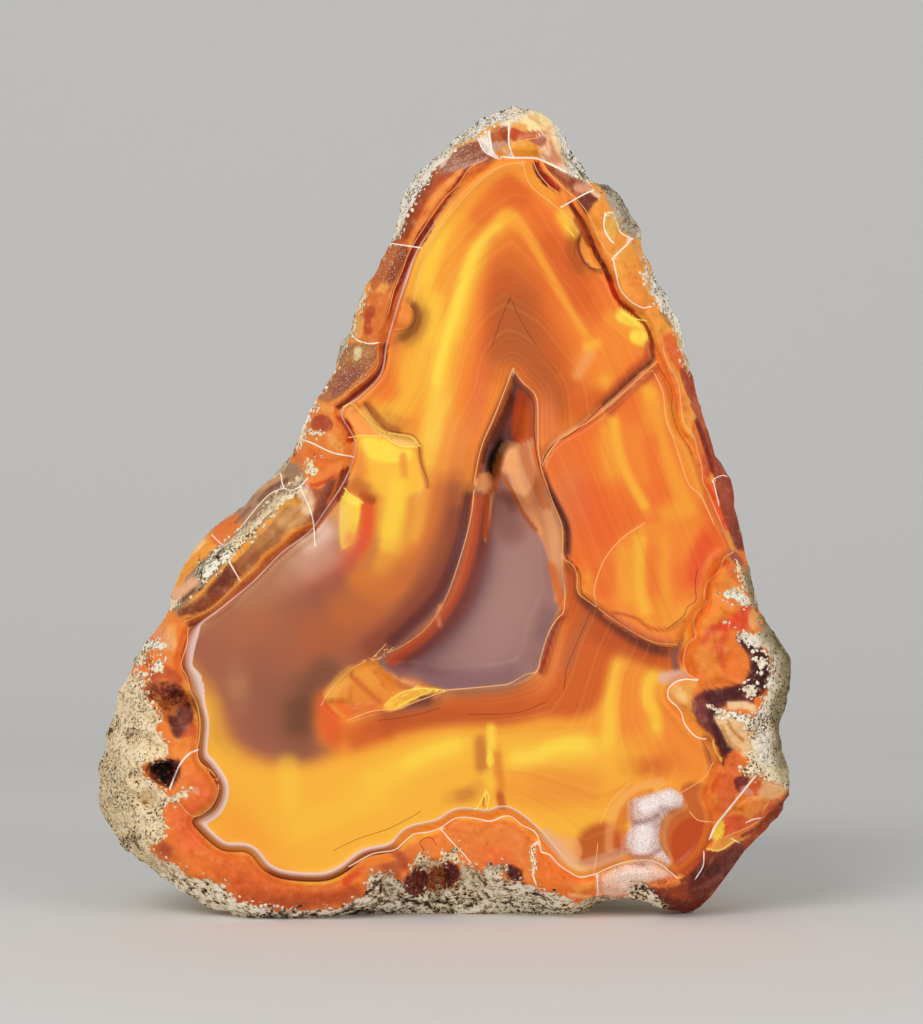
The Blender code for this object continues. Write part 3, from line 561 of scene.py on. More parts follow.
RIM_STROKES = [
    # Left of the cap, from the crust in to the wall
    ("DA732E", 1, 9, 4, [480, 160, 458, 170, 436, 190, 420, 220, 405, 255, 388, 315, 384, 338]),
    ("B4582C", .95, FILL, 3, [432, 168, 446, 160, 452, 172, 436, 184, 420, 212, 404, 242, 390, 243, 404, 212]),
    # Painted shade beside the crust
    ("86401F", .6, 3, 5, [430, 176, 418, 196, 404, 232]),
    ("E8843A", .9, 4, 3, [480, 161, 458, 174, 442, 188, 428, 206]),
    ("F09C48", .8, 1.6, 2, [472, 165, 454, 177, 440, 192, 430, 206]),
    ("B04C22", .7, 1.6, 2, [452, 172, 434, 187, 420, 208, 414, 222]),
    ("E88A3C", .95, 2.6, 2, [424, 218, 403, 262, 387, 312, 385, 328]),
    (BLOOD, .95, 1.4, 1.5, [478, 161, 466, 170, 440, 208, 432, 219]),
    ("962A14", 1, FILL, 1.5, [429, 219, 434, 222, 428, 236, 411, 262, 406, 276, 399, 288, 394, 298, 392, 293, 396,
     282, 414, 240, 422, 226]),
    ("A23A1A", .9, 1.3, 1.5, [394, 294, 387, 318]),
    ("C87036", 1, FILL, 2, [386, 246, 410, 248, 402, 266, 394, 284, 388, 292, 373, 290, 371, 278, 380, 262]),
    ("8A4222", .6, 3, 4, [404, 250, 392, 276]),
    ("E9A24C", .9, 3.5, 2.5, [384, 286, 380, 293]),
    ("DA7832", 1, FILL, 3, [368, 292, 388, 296, 388, 314, 384, 334, 366, 343, 352, 337, 358, 316]),
    ("B44A26", .85, 3, 3, [371, 310, 366, 322, 368, 330]), ("E8A652", .9, 3, 3, [360, 320, 358, 334]),
    ("BC7848", 1, FILL, 2, [346, 344, 378, 346, 380, 356, 372, 372, 358, 388, 344, 398, 328, 402, 318, 398, 328, 382,
     338, 366]),
    ("C48C4C", .8, 5, 6, [364, 350, 354, 356]), ("F2DDA8", .9, 2.4, 3, [358, 350, 357, 356]),
    ("A05E4A", .8, 7, 8, [356, 374, 340, 388]),
    ("E08A3A", .95, 2, 1.5, [379, 346, 378, 360, 368, 374, 356, 384, 344, 396, 332, 404]),
    ("C8622A", .95, 2.2, 1.5, [382, 346, 381, 362, 371, 377, 358, 388, 346, 400, 332, 408]),
    ("7E2A14", .95, 1.6, 1.5, [385.5, 345, 384, 362, 376, 376, 346, 402, 334, 409]),
    # The orange rock at the left shoulder
    ("E9873A", 1, FILL, 2, [316, 400, 332, 404, 350, 424, 354, 442, 350, 462, 340, 474, 318, 480, 298, 478, 288, 464,
     298, 440, 310, 408]),
    ("B4502C", 1, FILL, 2, [313, 418, 322, 414, 332, 420, 332, 428, 324, 431, 312, 428]),
    ("E9A050", .8, 2.5, 3, [320, 406, 330, 409]),
    ("C43C18", 1, FILL, 1.5, [336, 415, 346, 419, 353, 430, 353, 441, 346, 441, 347, 430]),
    ("8E2210", .9, .9, 1.2, [345, 419, 352, 430, 353, 440]), (TANGERINE, .8, 5, 6, [304, 450, 330, 464]),
    ("E8A04E", .7, 3, 4, [332, 438, 340, 448]),
    ("D84E22", .9, 1.5, 2, [304, 484, 318, 484, 338, 474]),
    ("B0603A", 1, FILL, 2, [302, 487, 318, 488, 336, 478, 344, 472, 347, 484, 338, 502, 326, 518, 316, 529, 313,
     520]),
    ("86463A", .7, 4, 5, [332, 484, 326, 500, 318, 514]), ("E6B8A0", .8, 3, 4, [305, 487, 310, 500]),
    ("8E2A14", .9, 1.4, 1.5, [343, 470, 340, 484, 332, 500]), ("D8702C", .9, 1, 1.5, [338, 474, 335, 488, 328, 502]),
    ("7E2412", .9, 1.2, 1.5, [347, 468, 346, 482, 338, 500]),
    # The ledge
    ("A88466", 1, FILL, 2, [156, 612, 164, 590, 184, 556, 234, 508, 288, 462, 304, 488, 262, 524, 200, 590, 176,
     612]),
    ("F0A040", 1, FILL, 1.5, [166, 602, 174, 580, 182, 560, 206, 536, 214, 532, 221, 541, 210, 553, 196, 566, 186,
     578, 178, 592]),
    ("E87C34", .95, FILL, 1.5, [210, 536, 228, 520, 238, 514, 242, 524, 228, 540, 219, 546]),
    ("FAD49C", .8, 1.2, 2, [172, 592, 182, 564, 204, 541]),
    ("F4B890", .9, 3.4, 3, [176, 596, 194, 580]), ("7A4A2A", .8, 1, 1.5, [182, 600, 194, 590]),
    ("B8896A", .8, 3, 4, [244, 516, 268, 490]), ("7C4C3A", .7, 1.6, 2.5, [260, 500, 272, 488, 286, 480]),
    ("D8A070", .8, 2, 2, [252, 492, 282, 476]), ("9A6650", .7, 1, 2, [236, 522, 250, 508]),
    ("A8663C", 1, FILL, 2, [176, 612, 200, 596, 232, 564, 262, 534, 284, 508, 303, 490, 313, 520, 290, 530, 276, 546,
     256, 564, 212, 606, 186, 620]),
    ("D8A468", .9, 9, 8, [306, 506, 276, 530]), ("F2D0A8", .85, 4, 5, [303, 494, 307, 508]),
    ("C08850", .8, 6, 7, [268, 532, 252, 548]), ("DE9A3C", .9, 2.5, 2.5, [278, 506, 288, 502, 298, 502]),
    ("8A482C", 1, FILL, 1.5, [231, 561, 241, 579, 226, 594, 206, 610, 186, 618, 178, 612, 200, 600, 218, 580]),
    ("A85A30", .6, 3, 5, [226, 590, 206, 605]), ("74382A", .7, 3, 4, [226, 574, 212, 590]),
    ("E8943E", .95, 1.5, 1.5, [180, 619, 200, 614, 214, 607, 232, 590, 240, 580, 256, 567, 264, 556, 280, 544, 292,
     532, 312, 523]),
    ("C4602A", .95, 2.2, 1.5, [184, 622, 206, 616, 222, 606, 240, 588, 258, 573, 268, 560, 284, 547, 296, 535, 313,
     526]),
    ("8E3E20", .9, 1.6, 1.5, [188, 625, 210, 619, 228, 607, 244, 591, 262, 575, 272, 563, 288, 549, 300, 537, 315,
     529]),
    # The left rim: its orange lobes and pockets
    ("EC8436", 1, FILL, 3, [150, 620, 166, 606, 178, 616, 188, 626, 189, 645, 182, 662, 188, 678, 196, 700, 199, 730,
     198, 760, 214, 776, 219, 790, 212, 806, 192, 816, 200, 834, 222, 852, 250, 856, 266, 872, 290, 882, 330, 884,
     368, 860, 400, 852, 440, 832, 500, 820, 540, 845, 553, 862, 575, 880, 600, 878, 600, 910, 400, 910, 240, 910,
     150, 860, 130, 700, 136, 650]),
    ("F2AC60", .9, 5, 6, [168, 622, 176, 652]), ("E8A284", .6, 5, 6, [158, 632, 166, 644]),
    ("EE7A2E", .9, 4, 4, [182, 632, 183, 646, 178, 662]), ("C0582A", .9, 4, 5, [154, 676, 166, 672, 178, 682]),
    ("A04E2A", .9, FILL, 4, [146, 684, 172, 682, 186, 692, 176, 704, 166, 702, 150, 700]),
    ("E8963C", .9, 3, 3, [186, 684, 194, 702, 198, 720]),
    ("6E3430", .95, FILL, 4, [166, 688, 180, 690, 191, 706, 193, 720, 184, 738, 174, 736, 168, 716, 178, 706]),
    ("94544C", .7, 3, 4, [187, 710, 184, 726]), ("C07838", .9, 2.5, 2, [158, 700, 166, 706]),
    ("C8803C", .9, 2.5, 2, [171, 711, 173, 713]), ("E0A868", .8, 1.2, 1.5, [178, 698, 179, 699]),
    ("B0602E", .8, 3, 3, [176, 704, 184, 701]), ("DC6838", .8, 3, 4, [192, 728, 184, 740]),
    ("EE8C3C", 1, FILL, 1.5, [174, 742, 184, 738, 197, 736, 197, 750, 186, 757, 178, 766, 173, 754]),
    ("2E1616", 1, FILL, 2.5, [148, 765, 158, 760, 172, 759, 181, 766, 174, 780, 168, 788, 157, 779]),
    ("702C28", .9, 2.5, 3, [177, 763, 176, 774, 170, 784]), ("B8602C", .9, 1.6, 2.5, [145, 768, 152, 776, 162, 784]),
    ("E8703A", .9, 10, 10, [182, 800, 184, 830, 204, 852]), ("E4683A", .6, 7, 8, [196, 776, 202, 796, 190, 808]),
    # Painted shade: the brown stroke from (156, 844)
    ("F2B8A0", .6, 1, 3, [195, 790, 197, 792]), ("B4542C", .95, 5, 6, [156, 844, 174, 856]),
    ("F08E3E", .7, 5, 6, [214, 842, 262, 876]), ("E06C30", .9, 12, 12, [210, 862, 240, 876, 290, 892]),
    (RUST, .9, 6, 8, [238, 884, 270, 896, 330, 896, 366, 890]), (EMBER, .8, 4, 6, [236, 892, 256, 902, 320, 900, 352,
     894]),
    ("D84A22", .8, 2.2, 3, [346, 882, 363, 866]), ("A8502C", .8, 7, 9, [376, 872, 396, 864, 410, 854]),
    ("EA8A38", .9, 3, 4, [352, 868, 366, 861, 390, 857]), ("B85028", .7, 2.5, 3, [394, 852, 402, 858, 404, 866]),
    ("E27C36", .8, 6, 8, [412, 846, 436, 848]),
    ("E8863C", .95, FILL, 4, [442, 830, 456, 820, 480, 820, 508, 820, 530, 834, 536, 848, 534, 872, 520, 866, 500,
     862, 462, 862]),
    ("EE6C3A", .6, 8, 9, [480, 854, 500, 858, 512, 850]),
    ("E97C30", 1, FILL, 1.5, [538, 852, 550, 858, 562, 868, 580, 878, 596, 876, 597, 896, 580, 902, 556, 896, 536,
     882]),
    ("F2A648", .8, 2, 3, [576, 889, 594, 884]), ("FAC68A", .8, 1, 2, [570, 895, 590, 897]),
    # Hollows at the foot
    ("7A342A", 1, FILL, 3, [402, 886, 410, 872, 422, 864, 429, 878, 424, 894, 408, 896]),
    ("A8602E", 1, FILL, 2.5, [426, 882, 433, 866, 446, 862, 446, 886, 432, 888]),
    ("6A2622", 1, FILL, 2, [445, 862, 458, 866, 458, 882, 446, 887]),
    ("6E2C28", 1, FILL, 2, [503, 867, 512, 865, 522, 871, 521, 881, 510, 879]),
    # The cap
    ("F0DEC0", 1, FILL, 3, [496, 126, 520, 104, 545, 112, 566, 130, 586, 170, 590, 186, 576, 180, 556, 166, 540, 158,
     510, 156, 490, 158, 470, 164, 440, 170, 452, 150, 476, 138]),
    ("B27A62", 1, FILL, 1.2, [438, 171, 446, 161, 456, 148, 470, 141, 479, 140, 484, 150, 497, 158, 480, 163, 448,
     172]),
    ("9A5238", .7, 3, 4, [462, 152, 476, 146]), ("8E4630", .6, 2, 3, [474, 160, 488, 156]),
    ("D0A090", .7, 1.4, 2, [450, 169, 486, 158]),
    ("EDDCD2", .95, FILL, 1.2, [479, 140, 489, 137, 491, 150, 498, 157, 488, 153]),
    ("B8602E", 1, FILL, 1, [491, 128, 500, 126, 508, 126, 508, 142, 500, 146, 491, 143]),
    ("9A4420", .8, 2, 3, [504, 130, 506, 138]), ("D08A5A", .8, .8, 2, [493, 130, 498, 128]),
    ("CE9C88", 1, FILL, 1.2, [491, 142, 508, 141, 509, 145, 498, 151, 492, 148]),
    ("E8A050", 1, FILL, 1.2, [495, 151, 509, 144, 513, 154, 500, 156]), ("F2CCA2", .85, 1.2, 1.5, [504, 150, 511,
     153]),
    ("F6DCA0", 1, FILL, 1.2, [511, 124, 530, 112, 541, 113, 551, 121, 552, 124, 541, 131, 524, 130, 513, 127]),
    ("E89E4E", .85, 2, 3, [514, 125, 524, 127]),
    ("E0A060", .7, .8, 1.5, [530, 116, 540, 122]),
    ("C4552B", 1, FILL, 1, [510, 127, 524, 130, 541, 131, 534, 137, 530, 140, 512, 141]),
    ("DC8A62", .85, 1.6, 2, [520, 137, 532, 135]),
    ("EE9E36", 1, FILL, 1, [509, 146, 512, 141, 530, 140, 538, 145, 540, 152, 538, 158, 516, 157, 511, 151]),
    ("F4B250", .8, 2, 3, [514, 144, 526, 142]),
    ("EBB88C", 1, FILL, 1.2, [541, 131, 553, 124, 560, 130, 565, 150, 573, 166, 560, 166, 545, 158, 538, 145, 546,
     139]),
    ("B46C54", 1, FILL, 1, [530, 140, 540, 135, 546, 137, 546, 142, 540, 146]),
    ("F8E0AE", .9, 3, 4, [556, 130, 560, 146]),
    ("DE9470", .8, 2.4, 3, [546, 152, 556, 161]), ("D07E54", .6, .8, 1.5, [550, 140, 554, 152, 560, 160]),
    ("F2C8A6", .8, 1.6, 2, [544, 148, 548, 154]),
    ("A85C3A", 1, FILL, 1, [541, 161, 556, 167, 570, 174, 583, 179, 591, 187, 583, 192, 577, 195, 566, 188, 552,
     178]),
    ("8A4028", .7, 1.6, 2.5, [550, 168, 572, 182]), ("E6A888", .9, 3, 3, [578, 187, 587, 187]),
    ("C87C5C", .7, 1.2, 2, [556, 170, 568, 178]),
    ("8E200E", 1, FILL, 1, [533, 160, 540, 161, 545, 170, 555, 180, 562, 188, 557, 191, 545, 184, 537, 175, 533,
     166]),
    ("5E140C", .9, .8, 1.2, [534, 163, 538, 174, 546, 184]), ("C8381A", .8, .8, 1.5, [548, 178, 557, 187]),
    ("E98638", 1, 1.5, 1.2, [541, 161, 546, 170, 577, 200, 588, 214, 600, 244, 606, 258]),
    ("7A3426", 1, FILL, 1, [577, 197, 590, 191, 597, 193, 597, 200, 588, 213, 580, 205]),
    ("F2C8A0", .95, 1.4, 1.5, [592, 191, 599, 196]),
    # The right rim, from the cap down
    ("EE983E", 1, FILL, 1.5, [588, 214, 603, 196, 610, 206, 616, 216, 620, 236, 634, 238, 614, 258, 604, 252, 597,
     238]),
    ("E9B052", 1, FILL, 1.2, [606, 213, 613, 212, 617, 222, 616, 234, 611, 240, 606, 228]),
    ("F0A244", 1, FILL, 2, [614, 258, 632, 238, 646, 250, 652, 272, 650, 288, 662, 300, 684, 340, 696, 372, 706, 430,
     690, 440, 676, 400, 660, 362, 652, 330, 636, 310, 622, 298, 616, 276]),
    ("EE8C38", .8, 6, 8, [636, 266, 636, 290, 654, 314]), ("B47A40", .85, 3, 3, [664, 312, 671, 321]),
    ("E97C34", .8, 5, 6, [656, 340, 684, 414]), ("DE6430", .85, 4, 4, [669, 338, 674, 352, 682, 366]),
    ("B04C2C", 1, FILL, 1.5, [680, 368, 696, 374, 702, 396, 694, 402, 686, 392]),
    ("C06440", 1, FILL, 1.5, [690, 402, 702, 396, 712, 416, 716, 430, 704, 431, 696, 416]),
    ("A84A2E", 1, FILL, 1.5, [703, 431, 716, 428, 724, 456, 736, 474, 716, 479, 710, 462]),
    ("D8CABA", .6, 1.4, 2, [716, 450, 722, 464, 732, 476]),
    ("E27C38", 1, 3.6, 2.5, [696, 424, 704, 470, 712, 500, 722, 528]),
    ("86240F", .95, 1.6, 1.5, [697, 420, 708, 454, 712, 470]), ("C8522A", .8, 2, 2, [704, 456, 708, 474]),
    ("E85C2E", .85, 1.8, 2, [712, 484, 716, 502, 725, 526]),
    ("A04630", 1, FILL, 1.5, [715, 480, 722, 476, 740, 470, 748, 500, 758, 545, 742, 556, 729, 532, 720, 506]),
    ("86382A", .7, 4, 5, [737, 530, 744, 550]), ("B85A3E", .6, 3, 4, [722, 484, 728, 504]),
    ("B02A12", .95, 2, 1.5, [609, 276, 614, 292, 622, 303, 632, 311]),
    ("6E2214", .95, 1.7, 1.5, [570, 203, 585, 226, 596, 252, 604, 266, 609, 278]),
    ("A0481C", .8, 2.2, 3, [577, 219, 584, 231, 589, 243]),
    ("8E3216", .9, 1.2, 1.5, [620, 303, 643, 322, 650, 334, 653, 347]),
    # The lobes of the right rim
    ("EC8436", 1, FILL, 3, [722, 558, 746, 552, 760, 600, 792, 650, 790, 800, 760, 830, 716, 842, 712, 815, 705, 797,
     712, 778, 720, 760, 710, 744, 698, 738, 682, 714, 668, 697, 672, 683, 690, 674, 684, 658, 692, 640, 693, 622,
     704, 602, 708, 582]),
    ("EF913C", 1, FILL, 3, [724, 556, 736, 560, 738, 575, 744, 590, 724, 596, 724, 604, 706, 602, 704, 590, 708, 580,
     718, 572]),
    ("E8703C", .8, 2.4, 3, [725, 562, 740, 580]), ("A85A50", .85, 2.6, 3, [733, 554, 740, 563]),
    ("F28E36", 1, FILL, 4, [706, 604, 742, 606, 736, 614, 706, 632, 696, 634, 693, 622, 700, 610]),
    ("DE4E26", .95, FILL, 4, [742, 606, 752, 606, 752, 622, 745, 630, 730, 630, 716, 636, 706, 634, 716, 624, 732,
     616]),
    ("EAA662", .95, FILL, 2, [750, 610, 757, 612, 760, 622, 755, 630, 749, 626]),
    ("E87E30", 1, FILL, 3, [692, 640, 704, 634, 728, 632, 740, 642, 748, 655, 750, 668, 738, 682, 718, 686, 700, 688,
     688, 672, 684, 656]),
    ("D85A30", .8, 1.3, 3, [713, 627, 704, 640, 698, 654]), ("DC5A2E", .7, 1.8, 4, [726, 634, 720, 648, 722, 664]),
    ("F0983E", .7, 6, 7, [700, 652, 710, 668]),
    ("5E2826", 1, FILL, 3, [736, 637, 746, 640, 762, 648, 769, 660, 769, 684, 760, 696, 748, 694, 744, 684, 750, 668,
     748, 655]),
    ("46191A", .8, 4, 5, [758, 662, 762, 682]),
    ("7A3630", 1, FILL, 2, [748, 682, 738, 684, 718, 688, 704, 690, 694, 698, 691, 712, 695, 724, 708, 738, 718, 748,
     722, 766, 733, 762, 734, 750, 724, 722, 720, 712, 726, 706, 742, 708, 754, 702]),
    ("A86444", .8, 1.8, 2.5, [694, 702, 693, 714, 700, 727, 712, 738]), ("4E2022", .85, 4, 5, [712, 698, 738, 693]),
    ("4A1E22", .9, 4, 5, [710, 712, 718, 726, 727, 748]), ("8E4A48", .6, 3, 5, [702, 704, 703, 718]),
    ("EAA44E", 1, FILL, 1.2, [668, 695, 674, 684, 686, 680, 697, 680, 697, 687, 692, 693, 692, 707, 684, 714, 676,
     706]),
    ("F6C884", .7, 4, 4, [676, 689, 682, 698]),
    ("EE9E40", 1, FILL, 1.2, [684, 708, 692, 712, 700, 726, 712, 737, 704, 740, 692, 734, 684, 722]),
    ("C06A2E", .95, FILL, 1.2, [701, 738, 712, 738, 715, 748, 721, 760, 714, 768, 709, 776, 707, 762]),
    ("F2B462", .9, .8, 1.2, [713, 740, 715, 750, 721, 760]),
    ("EAC08A", 1, FILL, 3, [714, 716, 730, 713, 744, 720, 754, 732, 754, 746, 746, 757, 738, 752, 728, 744, 722,
     732]),
    ("BE7638", .7, .8, 1.5, [728, 722, 734, 732, 743, 740]), ("BE7638", .6, .8, 1.5, [722, 726, 730, 742, 740, 750]),
    ("F6D4A4", .9, 2.2, 3, [730, 705, 746, 705, 754, 709]),
    ("DE7032", 1, FILL, 1.2, [724, 770, 727, 756, 737, 750, 745, 764, 742, 776, 728, 776]),
    ("DA682E", 1, FILL, 1.2, [716, 774, 728, 774, 740, 780, 736, 796, 728, 808, 720, 813, 714, 806, 712, 790]),
    ("E9883A", 1, FILL, 1.2, [702, 798, 708, 792, 716, 796, 717, 804, 710, 809, 703, 806]),
    ("7E322A", 1, FILL, 1.5, [734, 780, 741, 776, 750, 778, 746, 786, 738, 792]),
    # The corner at the lower right
    ("8E3C22", 1, FILL, 1.5, [706, 852, 724, 844, 750, 836, 790, 790, 802, 800, 774, 838, 734, 892, 702, 920, 656,
     918, 646, 888, 676, 880, 690, 872]),
    ("B4562C", .8, 2.6, 4, [780, 806, 744, 848]),
    ("6E2618", .9, FILL, 5, [690, 880, 706, 866, 728, 850, 744, 846, 734, 866, 712, 890, 700, 906, 690, 900]),
    ("541C16", .8, 2.6, 4, [696, 876, 716, 868]), ("8A4A38", .8, 1.5, 2.5, [702, 888, 720, 876]),
    ("AC4C20", .9, 6, 7, [668, 890, 690, 897]), ("6A2416", .8, 4, 5, [648, 892, 662, 902, 690, 908]),
    ("DA6430", 1, FILL, 1.2, [756, 778, 764, 780, 760, 792, 750, 796, 744, 794]),
    ("F2BA80", 1, FILL, 1.2, [764, 780, 772, 783, 786, 790, 774, 799, 758, 796]), ("E8AC9A", .7, 2.2, 2.5, [744, 789,
     750, 793]),
    ("F08E36", 1, FILL, 1.2, [736, 804, 748, 797, 768, 798, 762, 812, 748, 820, 738, 815]),
    ("FAB666", .7, .8, 1.5, [738, 806, 750, 799, 766, 799]),
    ("E8642C", 1, FILL, 1.2, [724, 820, 738, 814, 750, 820, 758, 822, 744, 830, 724, 836]),
    ("D85C2A", .8, 2, 2.5, [756, 818, 772, 806]), ("8A3822", .85, 1, 1.5, [788, 796, 758, 826, 742, 836]),
    ("F5CB44", 1, FILL, 1.2, [712, 836, 718, 822, 724, 821, 723, 836, 716, 840]),
    ("EC9C3A", 1, FILL, 1.2, [706, 848, 716, 840, 730, 836, 737, 838, 730, 846, 718, 851]),
    ("FAC678", .8, .6, 1, [708, 849, 720, 850, 734, 841]),
    # The white druse: the whiter middles of its bulbs are painted highlights, the mauve lines between them painted
    # shade
    ("E8D2CB", 1, FILL, 1.5, [633, 800, 655, 793, 672, 789, 683, 803, 668, 812, 660, 825, 660, 845, 668, 865, 627,
     855, 622, 845, 631, 825, 629, 812]),
    ("FAF2EE", .95, 5, 4, [646, 806, 660, 799, 676, 799]), ("F8EEE9", .95, 6, 5, [646, 828, 642, 846]),
    ("F0DCD4", .9, 4, 4, [654, 852, 664, 862]), ("B08480", .7, 1.2, 2.5, [634, 823, 646, 821, 658, 815]),
    ("B08480", .7, 1.2, 2.5, [630, 856, 646, 857, 660, 850]), ("E8AC94", .8, 1.6, 3, [631, 804, 630, 820]),
    ("E4926A", .7, 1.6, 3, [624, 836, 624, 848, 632, 856]),
    # The granular patch beside the druse
    ("F8C4A6", 1, FILL, 1.5, [597, 880, 604, 873, 620, 866, 636, 862, 650, 862, 662, 868, 676, 878, 660, 886, 640,
     886, 628, 898, 604, 902, 597, 900]),
    ("FFEDE2", .85, 8, 8, [612, 884, 632, 874, 656, 871]), ("E89468", .7, 1.5, 3, [599, 876, 600, 892]),
    ("E9823A", 1, FILL, 1.2, [644, 884, 660, 879, 675, 876, 680, 884, 664, 888]),
    ("F08E54", .9, 1.2, 1.5, [604, 897, 616, 899, 628, 894]),
]

# Runs beside the wall: from and to which of its marks, how far inside it, tint, strength, half width and blur
WALL_BANDS = [
    (27, 41, 4, ORANGE, .5, 2, 3), (41, 50, 4.5, ORANGE, .9, 2, 2), (41, 49, 7.5, EMBER, .4, .8, 1.5),
    (38, 42, 12, BLUSH, .5, 4, 5), (54, 57, 3, GOLD, .8, 2, 2), (65, 67, 2, EMBER, .7, 1.2, 2),
    (67, 71, 6, TAN, .5, 3, 5),
]

# Beside the wall, at which of its marks: how strong its dark line and brown band are, how far inside it the middle
# of its pale bead lies, how wide half the bead is, and how strong. The dark line is painted shade in the groove at
# the wall, the brown band partly painted shade.
WALL_KINDS = [
    (0, 0, 0, 1, .6, 0), (40.6, 0, 0, 9, 1, 0), (41.2, 0, 0, 9.5, 1, .8), (48.6, 0, 0, 9.5, 1.2, .85), (49.4, .9, .9,
     6.5, 2.1, .95),
    (53.6, .9, .9, 6.5, 2.3, .95), (54.2, .5, .3, 6.5, 2.2, .9), (57, .8, .6, 7, 2.4, .95), (58, .8, .9, 8, 3, .95),
    (61.6, .8, .9, 8, 3, .95), (62.2, .6, .8, 7.5, 2.2, .95), (63.4, .5, .8, 8, 2.2, .95), (64, .5, .7, 9.5, 3, .95),
    (64.5, .5, .5, 9, 5, .9), (65.1, .5, .4, 8.5, 5.4, .9), (65.7, .5, .7, 8, 3.2, .9), (66.1, .5, .5, 8, 3.6, .9),
    (66.6, .4, .3, 6.5, 4.8, .9), (67, .3, .1, 5.5, 4.4, .9), (67.3, .3, 0, 2.4, 1.6, .95), (68, .2, 0, 1.8, .9,
     .95), (72, 0, 0, .8, .7, .9),
    (75, 0, 0, 1, .8, .9), (78.8, 0, 0, 1.4, 1, .95), (79.5, 0, 0, 1.6, 1.6, .95), (80.4, 0, 0, 1, .8, .9),
    (82, 0, 0, .6, .6, .7), (83, 0, 0, .6, .6, 0),
]

# Tints of the crust, laid over cream; the olive right side and the darker bottom are painted shade
CRUST_STROKES = [
    ("FBF2E2", .9, 14, 20, [392, 240, 416, 182, 480, 122, 520, 108]),
    ("FFF8EC", 1, 9, 6, [556, 120, 568, 140, 584, 180]),
    ("FBF2E0", .9, 5, 6, [722, 594, 750, 604]), ("FBF2E0", .9, 8, 8, [738, 634, 756, 646]),
    ("FBF2E0", .9, 8, 8, [744, 690, 764, 668]), ("FBF2E0", .9, 6, 7, [708, 708, 750, 724]),
    ("FBF2E0", .9, 6, 8, [352, 330, 336, 368, 316, 396, 302, 432]),
    ("FBF2E0", .9, 6, 6, [146, 640, 160, 656, 140, 672]),
    # Painted shade: the olive tint of the right side, which turns from the light
    ("8F7F5C", 1, 9, 12, [764, 620, 784, 650, 790, 672, 787, 700, 780, 722, 788, 776]),
    ("8F7F5C", .9, 4, 5, [748, 566, 764, 622]), ("FFF4E0", 1, 6, 7, [768, 652, 768, 676, 758, 706, 766, 768]),
    ("B7A88E", .9, 9, 8, [596, 186, 618, 204, 640, 238]),
    ("FBF2E0", .9, 6, 8, [648, 262, 656, 286, 676, 314, 690, 352]),
    # Painted shade: darker along the bottom, near the floor
    ("D8BE98", .8, 12, 14, [372, 905, 460, 896, 570, 906]),
    ("A88A70", .8, 5, 8, [250, 914, 300, 916, 420, 906]),
    ("B8A67C", 1, 7, 6, [192, 582, 222, 552]),
    ("DCC49A", .7, 12, 14, [108, 740, 104, 800, 126, 846, 166, 880]),
]

WHITE_LINES = [
    (1.8, [503, 156, 515, 157, 530, 157, 541, 159, 568, 172, 582, 178]),
    (1.1, [387, 242, 420, 247]), (1, [562, 206, 585, 193, 593, 190]),
    (1.2, [605, 213, 604, 226, 608, 236, 613, 242]), (1, [605, 213, 613, 212, 617, 222, 621, 232, 632, 238]),
    (1.2, [613, 257, 633, 238]), (.9, [613, 257, 616, 272, 620, 288, 630, 300, 642, 307, 650, 306]),
    (1.4, [197, 750, 190, 753, 183, 760, 177, 770, 170, 788]),
    (1, [350, 866, 372, 854, 394, 850, 404, 842, 414, 834, 428, 832, 440, 828, 456, 818, 474, 818, 490, 821, 504,
     816, 512, 817, 522, 825, 534, 831, 539, 840, 541, 852]),
    (1.2, [541, 852, 550, 855, 558, 864, 568, 871, 580, 877, 596, 874]),
    (.8, [596, 874, 606, 869, 622, 863, 640, 860, 656, 862, 668, 870, 677, 878]), (.8, [597, 874, 598, 894]),
    (1.3, [539, 841, 533, 845, 532, 853, 535, 862, 533, 874, 536, 884]),
    (.7, [440, 828, 452, 842, 462, 852, 470, 862]), (1.7, [756, 775, 728, 810, 716, 825, 710, 838]),
    (.9, [704, 852, 703, 866, 696, 878]), (1.1, [302, 439, 313, 443, 332, 452, 352, 456]),
    (.9, [300, 487, 308, 504, 313, 520, 315, 545]), (1.2, [697, 680, 686, 679, 675, 682, 668, 690, 669, 699, 677,
     706]),
    (.8, [677, 706, 682, 714, 684, 722, 690, 731, 697, 737, 705, 739]),
    (1.6, [489, 131, 492, 150, 498, 157]), (1.2, [509, 124, 509, 143, 513, 155]), (1, [479, 140, 484, 150, 497, 158]),
    (1, [281, 474, 283, 485, 290, 490, 300, 486, 307, 478]),
    (.7, [212, 535, 224, 546]), (.6, [238, 530, 262, 501, 274, 491, 284, 488]),
    (.7, [713, 480, 719, 504]), (.6, [713, 479, 722, 475, 730, 477]),
    (1.1, [351, 333, 358, 340, 370, 343, 378, 342]), (1, [747, 822, 754, 819, 760, 818]), (.8, [732, 839, 738, 842]),
    (.8, [228, 560, 240, 580]),
]
